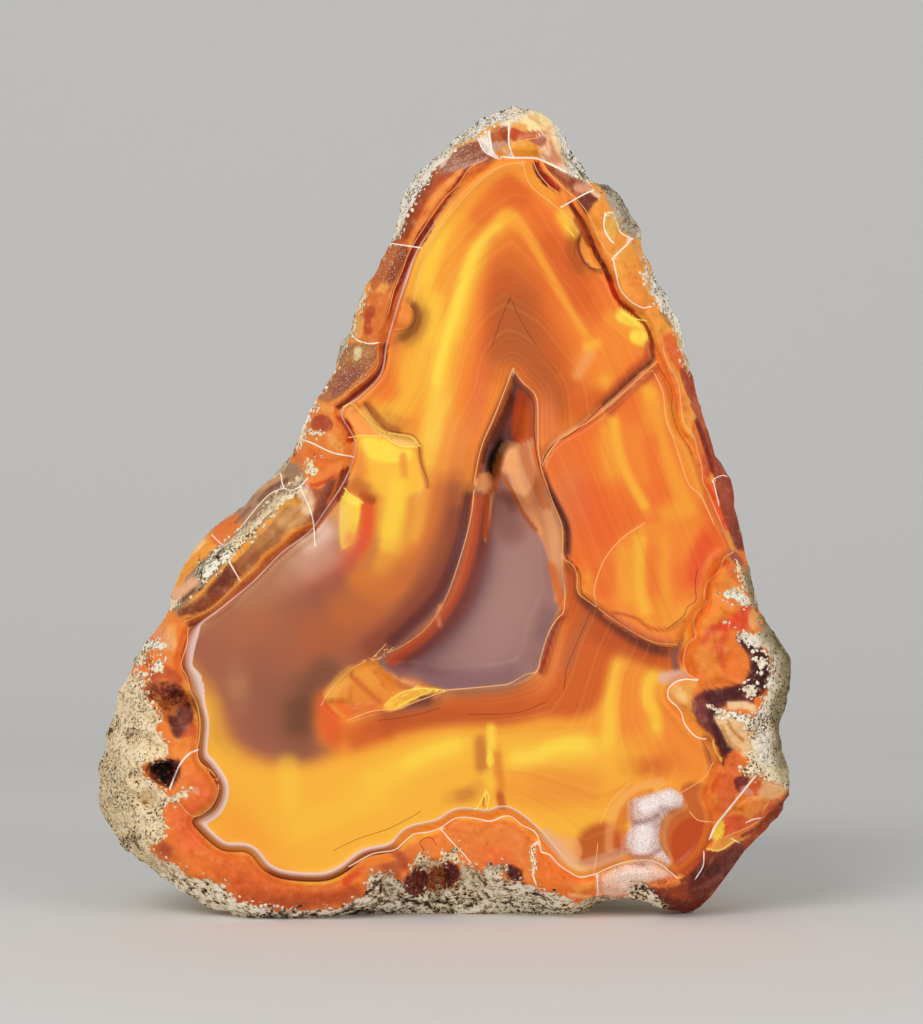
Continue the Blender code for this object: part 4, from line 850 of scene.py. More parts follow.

# Thin bright lines, most along the edges of the hollow, the plate, the wall and the scar: painted highlights on these
# edges
GLOW_LINES = [
    (.6, [525, 161, 500, 166, 476, 184, 455, 208, 437, 231, 423, 262, 414, 300]),
    (.5, [522, 160, 530, 184, 550, 201, 567, 216, 578, 232]),
    (.7, [487, 158, 470, 167, 458, 184, 441, 202, 412, 246, 403, 268, 394, 290, 388, 314]),
    (.7, [513, 368, 496, 412, 481, 448, 474, 482]),
    (.8, [513, 369, 522, 381, 536, 396, 538, 420, 538, 446, 541, 466]),
    (.8, [474, 490, 471, 516, 464, 545, 450, 588, 438, 612, 424, 630, 405, 644, 390, 652, 376, 659, 364, 660]),
    (.9, [446, 690, 500, 685, 512, 682, 526, 674, 537, 671, 541, 656, 548, 634, 556, 620, 564, 612]),
    (.7, [564, 610, 565, 592, 562, 570, 562, 556]),
    (.8, [541, 468, 552, 500, 562, 526, 563, 556, 572, 564, 577, 574, 578, 592, 590, 602, 625, 627, 654, 642, 676,
     644]),
    (.7, [656, 362, 612, 402, 590, 420, 562, 437, 549, 452, 544, 462]),
    (.7, [654, 372, 663, 392, 666, 418, 675, 442, 688, 482, 700, 494, 707, 508, 714, 524]),
    (.6, [663, 346, 666, 358, 678, 382, 681, 404, 684, 422, 694, 436, 697, 450, 702, 468, 703, 482, 710, 496, 732,
     550]),
    (1, [733, 552, 724, 558, 718, 572, 707, 582, 704, 596, 706, 603, 697, 612, 693, 622, 696, 636, 688, 643, 684,
     655, 684, 666, 688, 674, 697, 679]),
    (.8, [188, 628, 187, 644, 181, 664, 187, 677, 191, 692, 197, 705, 200, 722, 199, 740, 197, 750, 200, 762, 214,
     774, 219, 788]), (.7, [690, 812, 698, 820, 713, 822]), (.7, [726, 836, 744, 829, 757, 822]),
    (.6, [748, 797, 768, 798, 763, 812]), (.6, [511, 142, 537, 137]),
    (.7, [644, 523, 622, 538, 604, 560, 594, 590, 598, 606]),
    (.5, [598, 844, 594, 874]),
    (.5, [601, 822, 612, 800, 630, 783]),
    (.6, [541, 160, 548, 171, 568, 191, 577, 199, 590, 216, 597, 234, 606, 250, 613, 257]),
    (.6, [533, 160, 538, 172, 548, 184, 558, 192]),
    (.7, [322, 704, 330, 690, 352, 668, 372, 660]), (.6, [348, 720, 372, 711, 398, 708, 420, 700, 444, 691]),
    (.5, [372, 658, 385, 645]), (.5, [381, 658, 392, 648]),
    (.5, [230, 561, 240, 580]), (.6, [186, 621, 210, 609, 235, 586, 256, 567]),
    (.5, [378, 352, 377, 366, 366, 378, 350, 390]),
    (.6, [175, 798, 192, 816, 208, 810, 217, 796, 218, 782, 210, 770]),
    (.5, [675, 796, 692, 786, 706, 776, 712, 764]),
]

GOLD_LINES = [
    (1.2, [344, 406, 352, 403, 361, 412, 372, 423, 384, 431, 398, 434, 412, 437, 419, 445]),
    (1, [384, 435, 392, 441, 403, 446, 416, 446]), (.8, [349, 437, 364, 435, 382, 436]),
    (.9, [345, 488, 350, 494, 362, 502]), (.7, [343, 497, 350, 502, 356, 503]),
    (.8, [486, 790, 489, 797, 487, 808]), (.8, [486, 790, 481, 801, 476, 809]),
    (.8, [622, 313, 634, 318, 646, 320]), (.7, [566, 226, 574, 236]),
    (.8, [386, 704, 394, 697, 408, 690, 424, 688, 444, 690]), (.6, [444, 690, 424, 694, 398, 706]),
    (.6, [713, 740, 715, 750, 721, 760]), (.7, [708, 849, 720, 850, 734, 841]),
]

# Thin dark lines: cracks and band edges, and painted shade along the steps at the hollow, plate, chip, nodule and
# crescent
DARK_LINES = [
    (.7, [509, 388, 490, 432, 480, 450, 474, 482]),
    (.6, [528, 394, 534, 404, 534, 430, 537, 456, 541, 474]),
    (.9, [541, 466, 546, 454, 556, 442, 575, 431, 604, 404, 652, 360]),
    (.6, [543, 474, 548, 488, 558, 508, 566, 526, 567, 552]),
    (.5, [419, 446, 421, 462, 427, 478, 428, 486]),
    (.5, [590, 612, 578, 640, 567, 668, 564, 690]),
    (.5, [365, 402, 375, 418, 390, 430, 412, 434, 420, 443]),
    (.4, [470, 714, 500, 714, 524, 711, 545, 702]), (.4, [380, 720, 410, 716, 440, 708]),
    (.5, [567, 556, 580, 572, 582, 592, 598, 607, 628, 630, 654, 645, 674, 648]),
    (.6, [697, 570, 695, 585, 696, 600, 688, 606, 683, 616, 668, 628]),
    (.5, [657, 363, 671, 388, 672, 410, 678, 430, 686, 442, 692, 454]),
    (.5, [650, 330, 648, 337, 652, 342]),
    (.4, [510, 296, 500, 322, 492, 346]), (.4, [510, 296, 522, 322, 540, 350, 558, 372]),
    (.4, [334, 850, 360, 838, 390, 828, 420, 812]),
    (.6, [424, 850, 420, 842, 430, 837, 436, 844]),
    (.5, [582, 232, 578, 244, 582, 258, 590, 267, 602, 269]),
    (.5, [412, 306, 416, 316, 411, 327, 396, 331]),
    (.5, [566, 560, 576, 572]),
    (.5, [703, 742, 709, 754, 712, 766]),
]


# Each family of thin lines: the name that the stone keeps it under, its lines, their tint and its strength
LINE_FAMILIES = [
    ("dark_line", DARK_LINES, "5E2418", 0.8), ("glow_line", GLOW_LINES, "F8B878", 0.9),
    ("gold_line", GOLD_LINES, "FAE068", 0.95), ("pale_line", WHITE_LINES, "FDF2E2", 1.0)]


def beside_wall(first, last, inset):
    """The run of the wall between two of its marks, moved inside it."""
    marks = np.array(WALL + WALL, float).reshape(-1, 2)
    before, after = np.roll(marks, 1, axis=0), np.roll(marks, -1, axis=0)
    along = after - before
    along /= np.linalg.norm(along, axis=1)[:, None]
    inner = marks + inset * np.column_stack([-along[:, 1], along[:, 0]])
    return inner[first:last + 1].ravel()


# Ground that ends in a crisp broken edge: crumbs of crust on the rim, pockets in it, and sugary crystal
CRUST_BITS = [
    [164, 608, 172, 598, 180, 600, 190, 594, 200, 584, 194, 574, 200, 562, 232, 536, 256, 517, 264, 509, 268, 501,
     276, 494, 290, 491, 302, 486, 303, 491, 292, 500, 282, 505, 276, 512, 266, 518, 262, 526, 252, 538, 240, 549,
     234, 558, 218, 570, 206, 582, 194, 592, 184, 602, 172, 610],
    [722, 592, 735, 588, 748, 594, 756, 604, 744, 607, 733, 600, 725, 599], [720, 620, 727, 618, 728, 624, 722, 625],
    [734, 632, 745, 630, 757, 632, 762, 642, 756, 650, 738, 641], [753, 660, 762, 658, 768, 665, 762, 672],
    [742, 686, 752, 683, 759, 690, 756, 698, 746, 697], [736, 562, 743, 566, 748, 584, 741, 582],
    [706, 705, 736, 710, 752, 717, 750, 729, 734, 721, 718, 714], [740, 766, 748, 768, 756, 776, 748, 780],
    [644, 258, 650, 264, 647, 288, 643, 276], [650, 286, 660, 294, 672, 312, 668, 316, 656, 302],
    [678, 336, 686, 344, 692, 362, 690, 376, 684, 364], [560, 142, 572, 150, 580, 166, 582, 178, 570, 168],
    [312, 400, 318, 402, 310, 418, 306, 436, 298, 450, 296, 440], [308, 428, 322, 431, 322, 437, 308, 435],
    [309, 460, 320, 452, 314, 462, 318, 474, 308, 476, 303, 470], [306, 478, 296, 486, 290, 482, 300, 474],
    [142, 642, 150, 638, 164, 641, 165, 648, 158, 652, 150, 650, 146, 660, 140, 668, 134, 662], [152, 664, 162, 654,
     164, 662, 158, 672, 150, 672],
    [136, 668, 148, 672, 150, 678, 138, 676], [168, 798, 178, 790, 190, 789, 186, 797, 168, 806],
    [624, 893, 632, 886, 641, 880, 648, 887, 660, 898, 668, 910, 640, 908],
    [372, 872, 388, 873, 400, 880, 398, 892, 376, 890], [534, 844, 535, 862, 533, 878, 531, 862],
]
POCKET_EDGES = [
    [750, 645, 762, 650, 769, 664, 767, 680, 760, 694, 750, 700, 744, 690, 748, 676, 757, 668, 752, 656],
    [150, 684, 172, 681, 184, 689, 190, 700, 188, 708, 176, 704, 168, 712, 158, 704, 148, 695],
    [148, 763, 158, 760, 172, 759, 180, 766, 172, 780, 167, 788, 157, 780, 145, 774],
    [405, 886, 408, 872, 420, 867, 428, 876, 424, 890, 412, 893], [428, 884, 433, 866, 457, 864, 458, 882, 444, 886],
    [505, 868, 512, 866, 521, 872, 520, 880, 510, 878], [146, 654, 152, 656, 151, 668, 145, 664],
]
SUGAR_EDGES = [
    [633, 800, 655, 793, 672, 789, 683, 803, 668, 812, 660, 825, 660, 845, 668, 865, 640, 861, 624, 853, 622, 845,
     631, 825, 629, 812],
    [597, 880, 604, 873, 620, 866, 640, 862, 660, 864, 678, 876, 662, 884, 643, 885, 625, 895, 606, 897],
    [440, 166, 454, 152, 468, 144, 482, 142, 488, 150, 480, 160, 460, 168, 446, 172],
    [386, 246, 408, 246, 400, 268, 388, 284, 376, 276], [350, 344, 376, 346, 372, 370, 350, 390, 332, 396, 336, 372],
]


def depth_in(spots, edges):
    """How far inside the nearest of a few closed runs each spot lies, as far as it matters."""
    return np.max([inside(spots, np.reshape(marks, (-1, 2)), EDGE_REACH) for marks in edges], axis=0)


def thin_lines(spots, lines):
    """The side and distance of the nearest of a family of thin lines, and its half width."""
    side, far, width = np.full(len(spots), 6.0), np.full(len(spots), 6.0), np.zeros(len(spots))
    for half, run in lines:
        d, g, _ = off(spots, smooth(run), 6)
        less = d < far
        side, width = np.where(less, d * g, side), np.where(less, half, width)
        far = np.minimum(far, d)
    return side, far, width


def paint(spots):
    """Stains of the stone at each mark, with painted shade and highlights at its steps, hollows and edges."""
    stain_and_shade = np.tile(tint(AMBER), (len(spots), 1))
    for strokes in (CAP_STROKES, MIDDLE_STROKES, CHIP_STROKES, LOWER_STROKES, UNDER_STROKES, PLATE_STROKES,
                    HOLLOW_STROKES, SCAR_STROKES, RIM_STROKES):
        lay(stain_and_shade, spots, strokes)
    lay(stain_and_shade, spots, [(shade, strength, half, blur, beside_wall(first, last, inset))
                       for first, last, inset, shade, strength, half, blur in WALL_BANDS])
    return to_light(np.clip(stain_and_shade, 0, 1) ** DEEPEN)


def kinds_of_ground(spots):
    """How deep each mark lies in the crust, in the rim outside the wall, and in the pockets."""
    pocket = depth_in(spots, POCKET_EDGES)
    crust = np.maximum(np.minimum(-inside(spots, RIND_EDGE, 60, 3), -pocket), depth_in(spots, CRUST_BITS))
    return np.clip(np.column_stack([crust, -inside(spots, WALL, EDGE_REACH), pocket]), -EDGE_REACH, EDGE_REACH)


def beside_the_wall(spots):
    """What lies beside the wall at each mark: its dark line (painted shade), brown band (partly so), and bead."""
    line = smooth(WALL, closed=True)
    _, _, along = off(spots, line, EDGE_REACH + 2, closed=True)
    steps = np.linalg.norm(np.roll(line, -1, axis=0) - line, axis=1)
    at = np.append(0, np.cumsum(steps)) / steps.sum()
    kinds = np.array(WALL_KINDS)
    place_of = np.interp(kinds[:, 0] * len(line) * 2 / len(WALL), range(len(at)), at)
    dark, brown, middle, half, bead = (np.interp(along, place_of, kind) for kind in kinds[:, 1:].T)
    x, y = spots.T
    banded = np.maximum(ease(-y, -480, -420), ease(x, 400, 540)) * ease(np.hypot(x - 690, y - 840), 36, 50)
    return np.column_stack([dark, brown, banded]), np.column_stack([middle, half, bead])


def fine_bands(spots):
    """Where each mark lies between the wall and the hollow, which the fine bands follow, or across the plate."""
    wall, hollow = inside(spots, WALL, steps=2), -inside(spots, HOLLOW, steps=2)
    share = wall / np.maximum(wall + np.maximum(hollow, 0), 1)
    leaf = ease(inside(spots, PLATE, EDGE_REACH), -0.5, 0.5)
    across = 0.5 + 0.0045 * (spots @ np.array([0.93, -0.36]) - 400)
    sugar = depth_in(spots, SUGAR_EDGES)
    return np.column_stack([share + (across - share) * leaf, leaf, sugar])


def place(marks):
    """Marks of the drawing as x and z in metres."""
    marks = np.array(marks, float).reshape(-1, 2)
    return np.stack([(marks[:, 0] - DRAWING_MIDDLE) * PIXEL, (DRAWING_BOTTOM - marks[:, 1]) * PIXEL], axis=1)


def rough(points, size, octaves=3):
    """Smooth noise of the given grain, about -1 to 1 at each point."""
    return np.array([noise.fractal(Vector(p) / size, 1.0, 2.0, octaves) for p in points])


def dome(spots, centre, radius):
    """A round cap, 1 at its middle and 0 at its rim."""
    away = np.hypot(spots[:, 0] - centre[0], spots[:, 1] - centre[1]) / radius
    return np.sqrt(np.clip(1 - away ** 2, 0, 1))


def facets(spots, low, high, count, seed, tilt):
    """Broken flakes: each spot takes the tilted plane of the nearest of a few scattered marks."""
    draw = np.random.default_rng(seed)
    seats = draw.uniform(low, high, (count, 2))
    slopes = draw.uniform(-tilt, tilt, (count, 2))
    lifts = draw.uniform(-0.5, 0.5, count)
    own = np.argmin(np.linalg.norm(spots[:, None] - seats[None], axis=2), axis=1)
    return lifts[own] + np.sum((spots - seats[own]) * slopes[own], axis=1) * PIXEL / MM


def outline_ring():
    """The outline as a closed line and how far along it each point lies, from 0 to 1, from its lower left."""
    line = smooth(OUTLINE, closed=True)
    start = np.argmin(np.linalg.norm(line - DRAWING_CORNER, axis=1))
    line = np.roll(line, -start, axis=0)[::-1]
    line = np.roll(line, 1, axis=0)
    steps = np.linalg.norm(np.roll(line, -1, axis=0) - line, axis=1)
    return line, np.append(0, np.cumsum(steps)) / steps.sum()


def along_outline(share):
    """The outline at each share of its length."""
    line, at = outline_ring()
    line = np.vstack([line, line[:1]])
    return np.stack([np.interp(share % 1, at, line[:, 0]), np.interp(share % 1, at, line[:, 1])], axis=1)


def round_the_square(a, c):
    """How far round a square each point lies, from 0 to 1, from its lower left corner to the right, up and back."""
    level = np.maximum(np.maximum(np.abs(a), np.abs(c)), 1e-9)
    u, v = a / level, c / level
    return np.select([(v <= -1 + 1e-9), (u >= 1 - 1e-9), (v >= 1 - 1e-9)],
                     [(u + 1) / 8, 0.25 + (v + 1) / 8, 0.5 + (1 - u) / 8], 0.75 + (1 - v) / 8) % 1


def closer_at_rim(ticks):
    """Even ticks from -1 to 1, drawn closer together towards both ends."""
    return ticks + NET_PULL * np.sin(math.pi * ticks) / math.pi


def even_out(net, rounds):
    """Draws the inner marks of a net to even places, so that no cell of it folds over."""
    for _ in range(rounds):
        across = (net[2:, 1:-1] - net[:-2, 1:-1]) / 2
        up = (net[1:-1, 2:] - net[1:-1, :-2]) / 2
        alpha = np.sum(up * up, axis=2)[..., None]
        gamma = np.sum(across * across, axis=2)[..., None]
        beta = np.sum(across * up, axis=2)[..., None]
        twist = (net[2:, 2:] - net[2:, :-2] - net[:-2, 2:] + net[:-2, :-2]) / 4
        net[1:-1, 1:-1] = (alpha * (net[2:, 1:-1] + net[:-2, 1:-1]) + gamma * (net[1:-1, 2:] + net[1:-1, :-2])
                           - 2 * beta * twist) / (2 * (alpha + gamma))


def face_net(cells, split):
    """An even net of marks over the face, its rim evenly along the outline, each cell split into smaller ones."""
    def rim_of(ticks):
        a, c = np.meshgrid(ticks, ticks, indexing="ij")
        return along_outline(round_the_square(a.ravel(), c.ravel())).reshape(len(ticks), len(ticks), 2)

    rim = rim_of(np.linspace(-1, 1, cells + 1))
    ticks = np.linspace(0, 1, cells + 1)
    s, t = ticks[:, None, None], ticks[None, :, None]
    net = ((1 - s) * rim[:1] + s * rim[-1:] + (1 - t) * rim[:, :1] + t * rim[:, -1:]
           - (1 - s) * (1 - t) * rim[0, 0] - s * (1 - t) * rim[-1, 0]
           - (1 - s) * t * rim[0, -1] - s * t * rim[-1, -1])
    calm = net.copy()
    for _ in range(NET_ROUNDS):
        calm[1:-1, 1:-1] = (calm[:-2, 1:-1] + calm[2:, 1:-1] + calm[1:-1, :-2] + calm[1:-1, 2:]) / 4
    even_out(net, NET_ROUNDS)
    net += NET_CALM * (calm - net)
    ticks = closer_at_rim(np.linspace(-1, 1, cells * split + 1))
    fine = (ticks + 1) * cells / 2
    rows = np.stack([np.stack([np.interp(fine, range(cells + 1), net[i, :, k]) for k in (0, 1)], axis=1)
                     for i in range(cells + 1)])
    net = np.stack([[np.interp(fine, range(cells + 1), rows[:, j, k]) for k in (0, 1)]
                    for j in range(cells * split + 1)]).transpose(2, 0, 1)
    rim = rim_of(ticks)
    for side in (np.s_[0], np.s_[-1], np.s_[:, 0], np.s_[:, -1]):
        net[side] = rim[side]
    even_out(net, 4)

    # Space the marks of each column as evenly as those of the rim
    middle = len(net) / 2
    for column, pull in zip(net, ease(np.abs(np.arange(len(net)) - middle), middle, middle - NET_MARGIN)):
        at = np.append(0, np.cumsum(np.linalg.norm(np.diff(column, axis=0), axis=1)))
        even = (closer_at_rim(np.linspace(-1, 1, len(at))) + 1) / 2 * at[-1]
        there = at + pull * (even - at)
        column[:] = np.stack([np.interp(there, at, column[:, 0]), np.interp(there, at, column[:, 1])], axis=1)
    even_out(net, 4)
    return net


def draw_to_lines(net):
    """Draws the marks of the net towards the sharp lines of the face, so that its steps are crisp."""
    flat = net[1:-1, 1:-1].reshape(-1, 2)
    for marks, closed in SHARP_LINES:
        line = smooth(marks, closed)
        pick = close_to(flat, line, LINE_PULL)
        spots = flat[pick]
        nearest, best = spots.copy(), np.full(len(spots), float(LINE_PULL))
        for p, q in zip(line, np.roll(line, -1, axis=0) if closed else line[1:]):
            run = q - p
            foot = p + np.clip((spots - p) @ run / max(run @ run, 1e-9), 0, 1)[:, None] * run
            away = np.linalg.norm(spots - foot, axis=1)
            less = away < best
            nearest[less], best[less] = foot[less], away[less]
        keep = 0.2 + 0.8 * ease(best, 0, LINE_PULL)
        flat[pick] = nearest + (spots - nearest) * keep[:, None]
    net[1:-1, 1:-1] = flat.reshape(net[1:-1, 1:-1].shape)


def face_height(spots):
    """How far the face stands towards -Y at each mark, in millimetres, and how much rind each mark has."""
    flat = np.column_stack([spots[:, 0], np.zeros(len(spots)), spots[:, 1]]) * PIXEL
    wall = inside(spots, WALL, 40) * PIXEL / MM
    rind = -inside(spots, RIND_EDGE, 80, 3) * PIXEL / MM
    edge = -inside(spots, OUTLINE, 40) * PIXEL / MM
    rim = ease(-wall, 0, 1.2)
    height = 0.35 * rough(flat, 30 * MM)

    # The scalloped wall: a bead inside it, a groove on it, and the rim outside, broken and lumpy
    height += 0.35 * np.exp(-((wall - 0.9) / 0.55) ** 2)
    height -= 0.55 * np.exp(-((wall + 0.3) / 0.45) ** 2)
    height += rim * (0.9 + 0.45 * rough(flat, 4 * MM) + 0.22 * rough(flat + 0.3, 1.5 * MM))
    for centre, radius in LOBES:
        height += rim * LOBE_RISE * dome(spots, centre, radius)

    # The rind falls away from the rim to the outline
    shell = ease(rind, -0.2, 0.8)
    height -= 0.8 * np.clip(rind, 0, None) + rim * 2.2 * ease(edge, -4, 0)
    height -= 1.6 * ease(edge, -1.2, 0)
    for centre, radius, depth in POCKETS:
        height -= depth * ease(dome(spots, centre, radius), 0, 0.8)

    return height + middle_height(spots, rim) + broken_height(spots) + round_height(spots), shell


def middle_height(spots, rim):
    """The central hollow, with its bridge and dark throat, and the plate that stands proud at the right."""
    hollow = inside(spots, HOLLOW, 60) * PIXEL / MM
    bridge = inside(spots, BRIDGE, 40) * PIXEL / MM
    throat = inside(spots, THROAT, 40) * PIXEL / MM
    floor = HOLLOW_DEPTH * (0.35 * ease(hollow, 0, 0.6) + 0.65 * ease(hollow, 0, 3.2))
    floor -= ease(bridge, -0.8, 0.8) * BRIDGE_SHARE * floor
    floor += THROAT_DEPTH * ease(throat, -0.8, 0.6)
    plate = PLATE_RISE * ease(inside(spots, PLATE, 60) * PIXEL / MM, -0.05, 0.45) * (1 - rim)
    return plate - floor - SHELL_DEPTH * ease(inside(spots, SHELL, 60) * PIXEL / MM, 0, 5)


def broken_height(spots):
    """Shallow chips, the left ledge and its step, the broken corner at the lower right and the blocky cap."""
    chip = inside(spots, CHIP, 40) * PIXEL / MM
    height = -CHIP_DEPTH * ease(chip, 0, 0.6) * (1 - ease(spots[:, 1], 430, 520))
    scar = inside(spots, SCAR, 40) * PIXEL / MM
    height -= ease(scar, 0, 0.7) * (SCAR_DEPTH + facets(spots, (325, 655), (445, 720), 12, 5, 0.25))
    height -= LEDGE_DEPTH * ease(inside(spots, LEDGE, 60) * PIXEL / MM, 0, 0.8)
    height += LEDGE_STEP_RISE * ease(inside(spots, LEDGE_STEP, 60) * PIXEL / MM, 0, 0.5)
    corner = inside(spots, CORNER, 90) * PIXEL / MM
    height -= ease(corner, 0, 0.8) * (CORNER_SLOPE * corner - facets(spots, (690, 770), (790, 910), 16, 3, 0.45))
    cap = ease(inside(spots, CAP, 60) * PIXEL / MM, 0, 0.6)
    return height + cap * facets(spots, (490, 104), (590, 190), 18, 8, 0.5)


def round_height(spots):
    """Round growths: the druse, the nodule at the left and the crescent at the right."""
    druse = np.max([dome(spots, centre, radius) * radius for centre, radius in DRUSE], axis=0)
    return druse * PIXEL / MM + NODULE_RISE * dome(spots, *NODULE) - CRESCENT_DEPTH * dome(spots, *CRESCENT)


def calm_reach(angles):
    """How far the outline lies from its hub in each direction, as a calm average."""
    ring = smooth(OUTLINE, closed=True) - DRAWING_HUB
    turn = np.arctan2(ring[:, 1], ring[:, 0])
    order = np.argsort(turn)
    turn, reach = turn[order], np.linalg.norm(ring, axis=1)[order]
    around = np.radians(np.arange(-16, 17, 4))
    return np.mean([np.interp(angles + step, turn, reach, period=2 * math.pi) for step in around], axis=0)


def shape_body(blank):
    """Turns the points of a cut block into the nodule: its front side is the face, the rest is rind."""
    a, b, c = blank.T
    level = np.maximum(np.abs(a), np.abs(c))
    front = b < -1 + 1e-6
    hub = np.array(DRAWING_HUB, float)
    ring = along_outline(round_the_square(closer_at_rim(a), closer_at_rim(c)))

    net = face_net(SIDE_CELLS, FRONT_SPLIT)
    draw_to_lines(net)
    count = SIDE_CELLS * FRONT_SPLIT
    i, j = (np.rint((side[front] + 1) / 2 * count).astype(int) for side in (a, c))

    # Round the nodule from the outline to the middle of the back, boxier at its lower side
    out = ring - hub
    exact = np.linalg.norm(out, axis=1)
    out /= exact[:, None]
    shoulder = math.radians(50)
    swing = np.where(b < 1 - 1e-6, shoulder * (b + 1) / 2, shoulder + (1 - level) * (math.pi / 2 - shoulder))
    boxy = 0.75 - 0.22 * np.clip(out[:, 1], 0, 1)
    share = np.clip(np.cos(swing), 0, 1) ** boxy
    back = np.where(front, 0, np.sin(swing))
    reach = exact + (calm_reach(np.arctan2(out[:, 1], out[:, 0])) - exact) * ease(back, 0, 0.45)
    spots = hub + out * (share * reach)[:, None]
    spots[front] = net[i, j]
    ring[front] = net[i, j]

    height, shell = face_height(ring)
    height = height * MM
    shell = np.where(front, shell, 1.0)
    y = -height * (1 - back) + THICKNESS * back

    # The drawing is seen from the eye, so what lies deeper is drawn smaller than it is
    spots, eye = place(spots), place(DRAWING_EYE)[0]
    spots = eye + (spots - eye) * (1 - height / EYE_DISTANCE)[:, None]
    body = np.column_stack([spots[:, 0], y, spots[:, 1]])

    # The flat that it stands on is cut from a swelling of the rind
    swell = ease(y, FOOT_FRONT - 6 * MM, FOOT_FRONT) * (1 - ease(y, FOOT_BACK - 2 * MM, FOOT_BACK + 8 * MM))
    swell *= 1 - ease(np.abs(body[:, 0] - place((455, 0))[0, 0]), FOOT_HALF_WIDTH, FOOT_HALF_WIDTH + 14 * MM)
    body[:, 2] -= FOOT_PUSH * swell * (1 - ease(body[:, 2], 0, 16 * MM))
    return body, shell, ring


def roughen(body, normals, shell):
    """Lumps, dents and grain of the rind, along the normals."""
    bulge = rough(body + 0.05, 17 * MM, 2) * 1.6 * MM * shell
    lump = rough(body, 7 * MM, 2) * 0.9 * MM * shell
    grain = rough(body, 2.2 * MM, 2) * 0.4 * MM * shell
    crumb = rough(body + 0.2, 0.9 * MM, 2) * 0.18 * MM * shell
    calm = 0.25 + 0.75 * ease(body[:, 1], 2 * MM, 16 * MM)
    return body + normals * (bulge * calm + lump * calm + grain + crumb)[:, None]


def select_faces(mesh, wanted):
    """Selects the faces of a mesh whose centre and normal are wanted."""
    bpy.ops.mesh.select_all(action="DESELECT")
    bpy.ops.object.mode_set(mode="OBJECT")
    for face in mesh.polygons:
        face.select = wanted(face.center, face.normal)
    bpy.ops.object.mode_set(mode="EDIT")


def numbers(data, name, width):
    """The values of a mesh's points, one row each."""
    row = np.empty(len(data) * width)
    data.foreach_get(name, row)
    return row.reshape(-1, width)


def model_stone():
    bpy.ops.object.select_all(action="DESELECT")
    bpy.ops.mesh.primitive_cube_add(size=2, location=(0, 0, 0))
    stone = bpy.context.object
    stone.name = stone.data.name = "agate_stone"
    mesh = stone.data
    bpy.ops.object.mode_set(mode="EDIT")
    bpy.ops.mesh.select_all(action="SELECT")
    bpy.ops.mesh.subdivide(number_cuts=SIDE_CELLS - 1)
    bpy.ops.mesh.select_mode(type="FACE")
    select_faces(mesh, lambda centre, normal: normal.y < -0.9)
    bpy.ops.mesh.subdivide(number_cuts=FRONT_SPLIT - 1)
    bpy.ops.object.mode_set(mode="OBJECT")

    blank = numbers(mesh.vertices, "co", 3)
    front = blank[:, 1] < -0.99
    body, shell, marks = shape_body(blank)
    mesh.vertices.foreach_set("co", body.ravel())
    mesh.update()
    body = roughen(body, numbers(mesh.vertices, "normal", 3), shell)

    # It stands on a flat, in the box of its solid
    body[:, 2] = np.maximum(body[:, 2], 0)
    low, high = (np.array(corner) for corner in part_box("agate"))
    fit = np.minimum((high - low) / (body.max(0) - body.min(0)), 1)
    shift = (low + high) / 2 - fit * (body.max(0) + body.min(0)) / 2
    shift[2] = 0
    body = body * fit + shift
    mesh.vertices.foreach_set("co", body.ravel())
    mesh.update()
    mesh.polygons.foreach_set("use_smooth", [True] * len(mesh.polygons))
    return stone, marks, front, shift


def rim_depths(marks, depth):
    """How far behind the face the outline of the stone runs, in the direction of each mark."""
    across, down = (marks - FACE_MIDDLE).T
    out, turn = np.hypot(across, down), np.arctan2(down, across)
    steps = np.linspace(-np.pi, np.pi, RIM_STEPS, endpoint=False)
    place = np.round((turn + np.pi) / (2 * np.pi) * RIM_STEPS).astype(int) % RIM_STEPS
    rim = np.array([depth[place == step][out[place == step] > out[place == step].max() - 2].min()
                    for step in range(RIM_STEPS)])
    rim = np.maximum(rim, np.maximum(np.roll(rim, 1), np.roll(rim, -1)))
    return np.interp(turn, steps, rim, period=2 * np.pi)


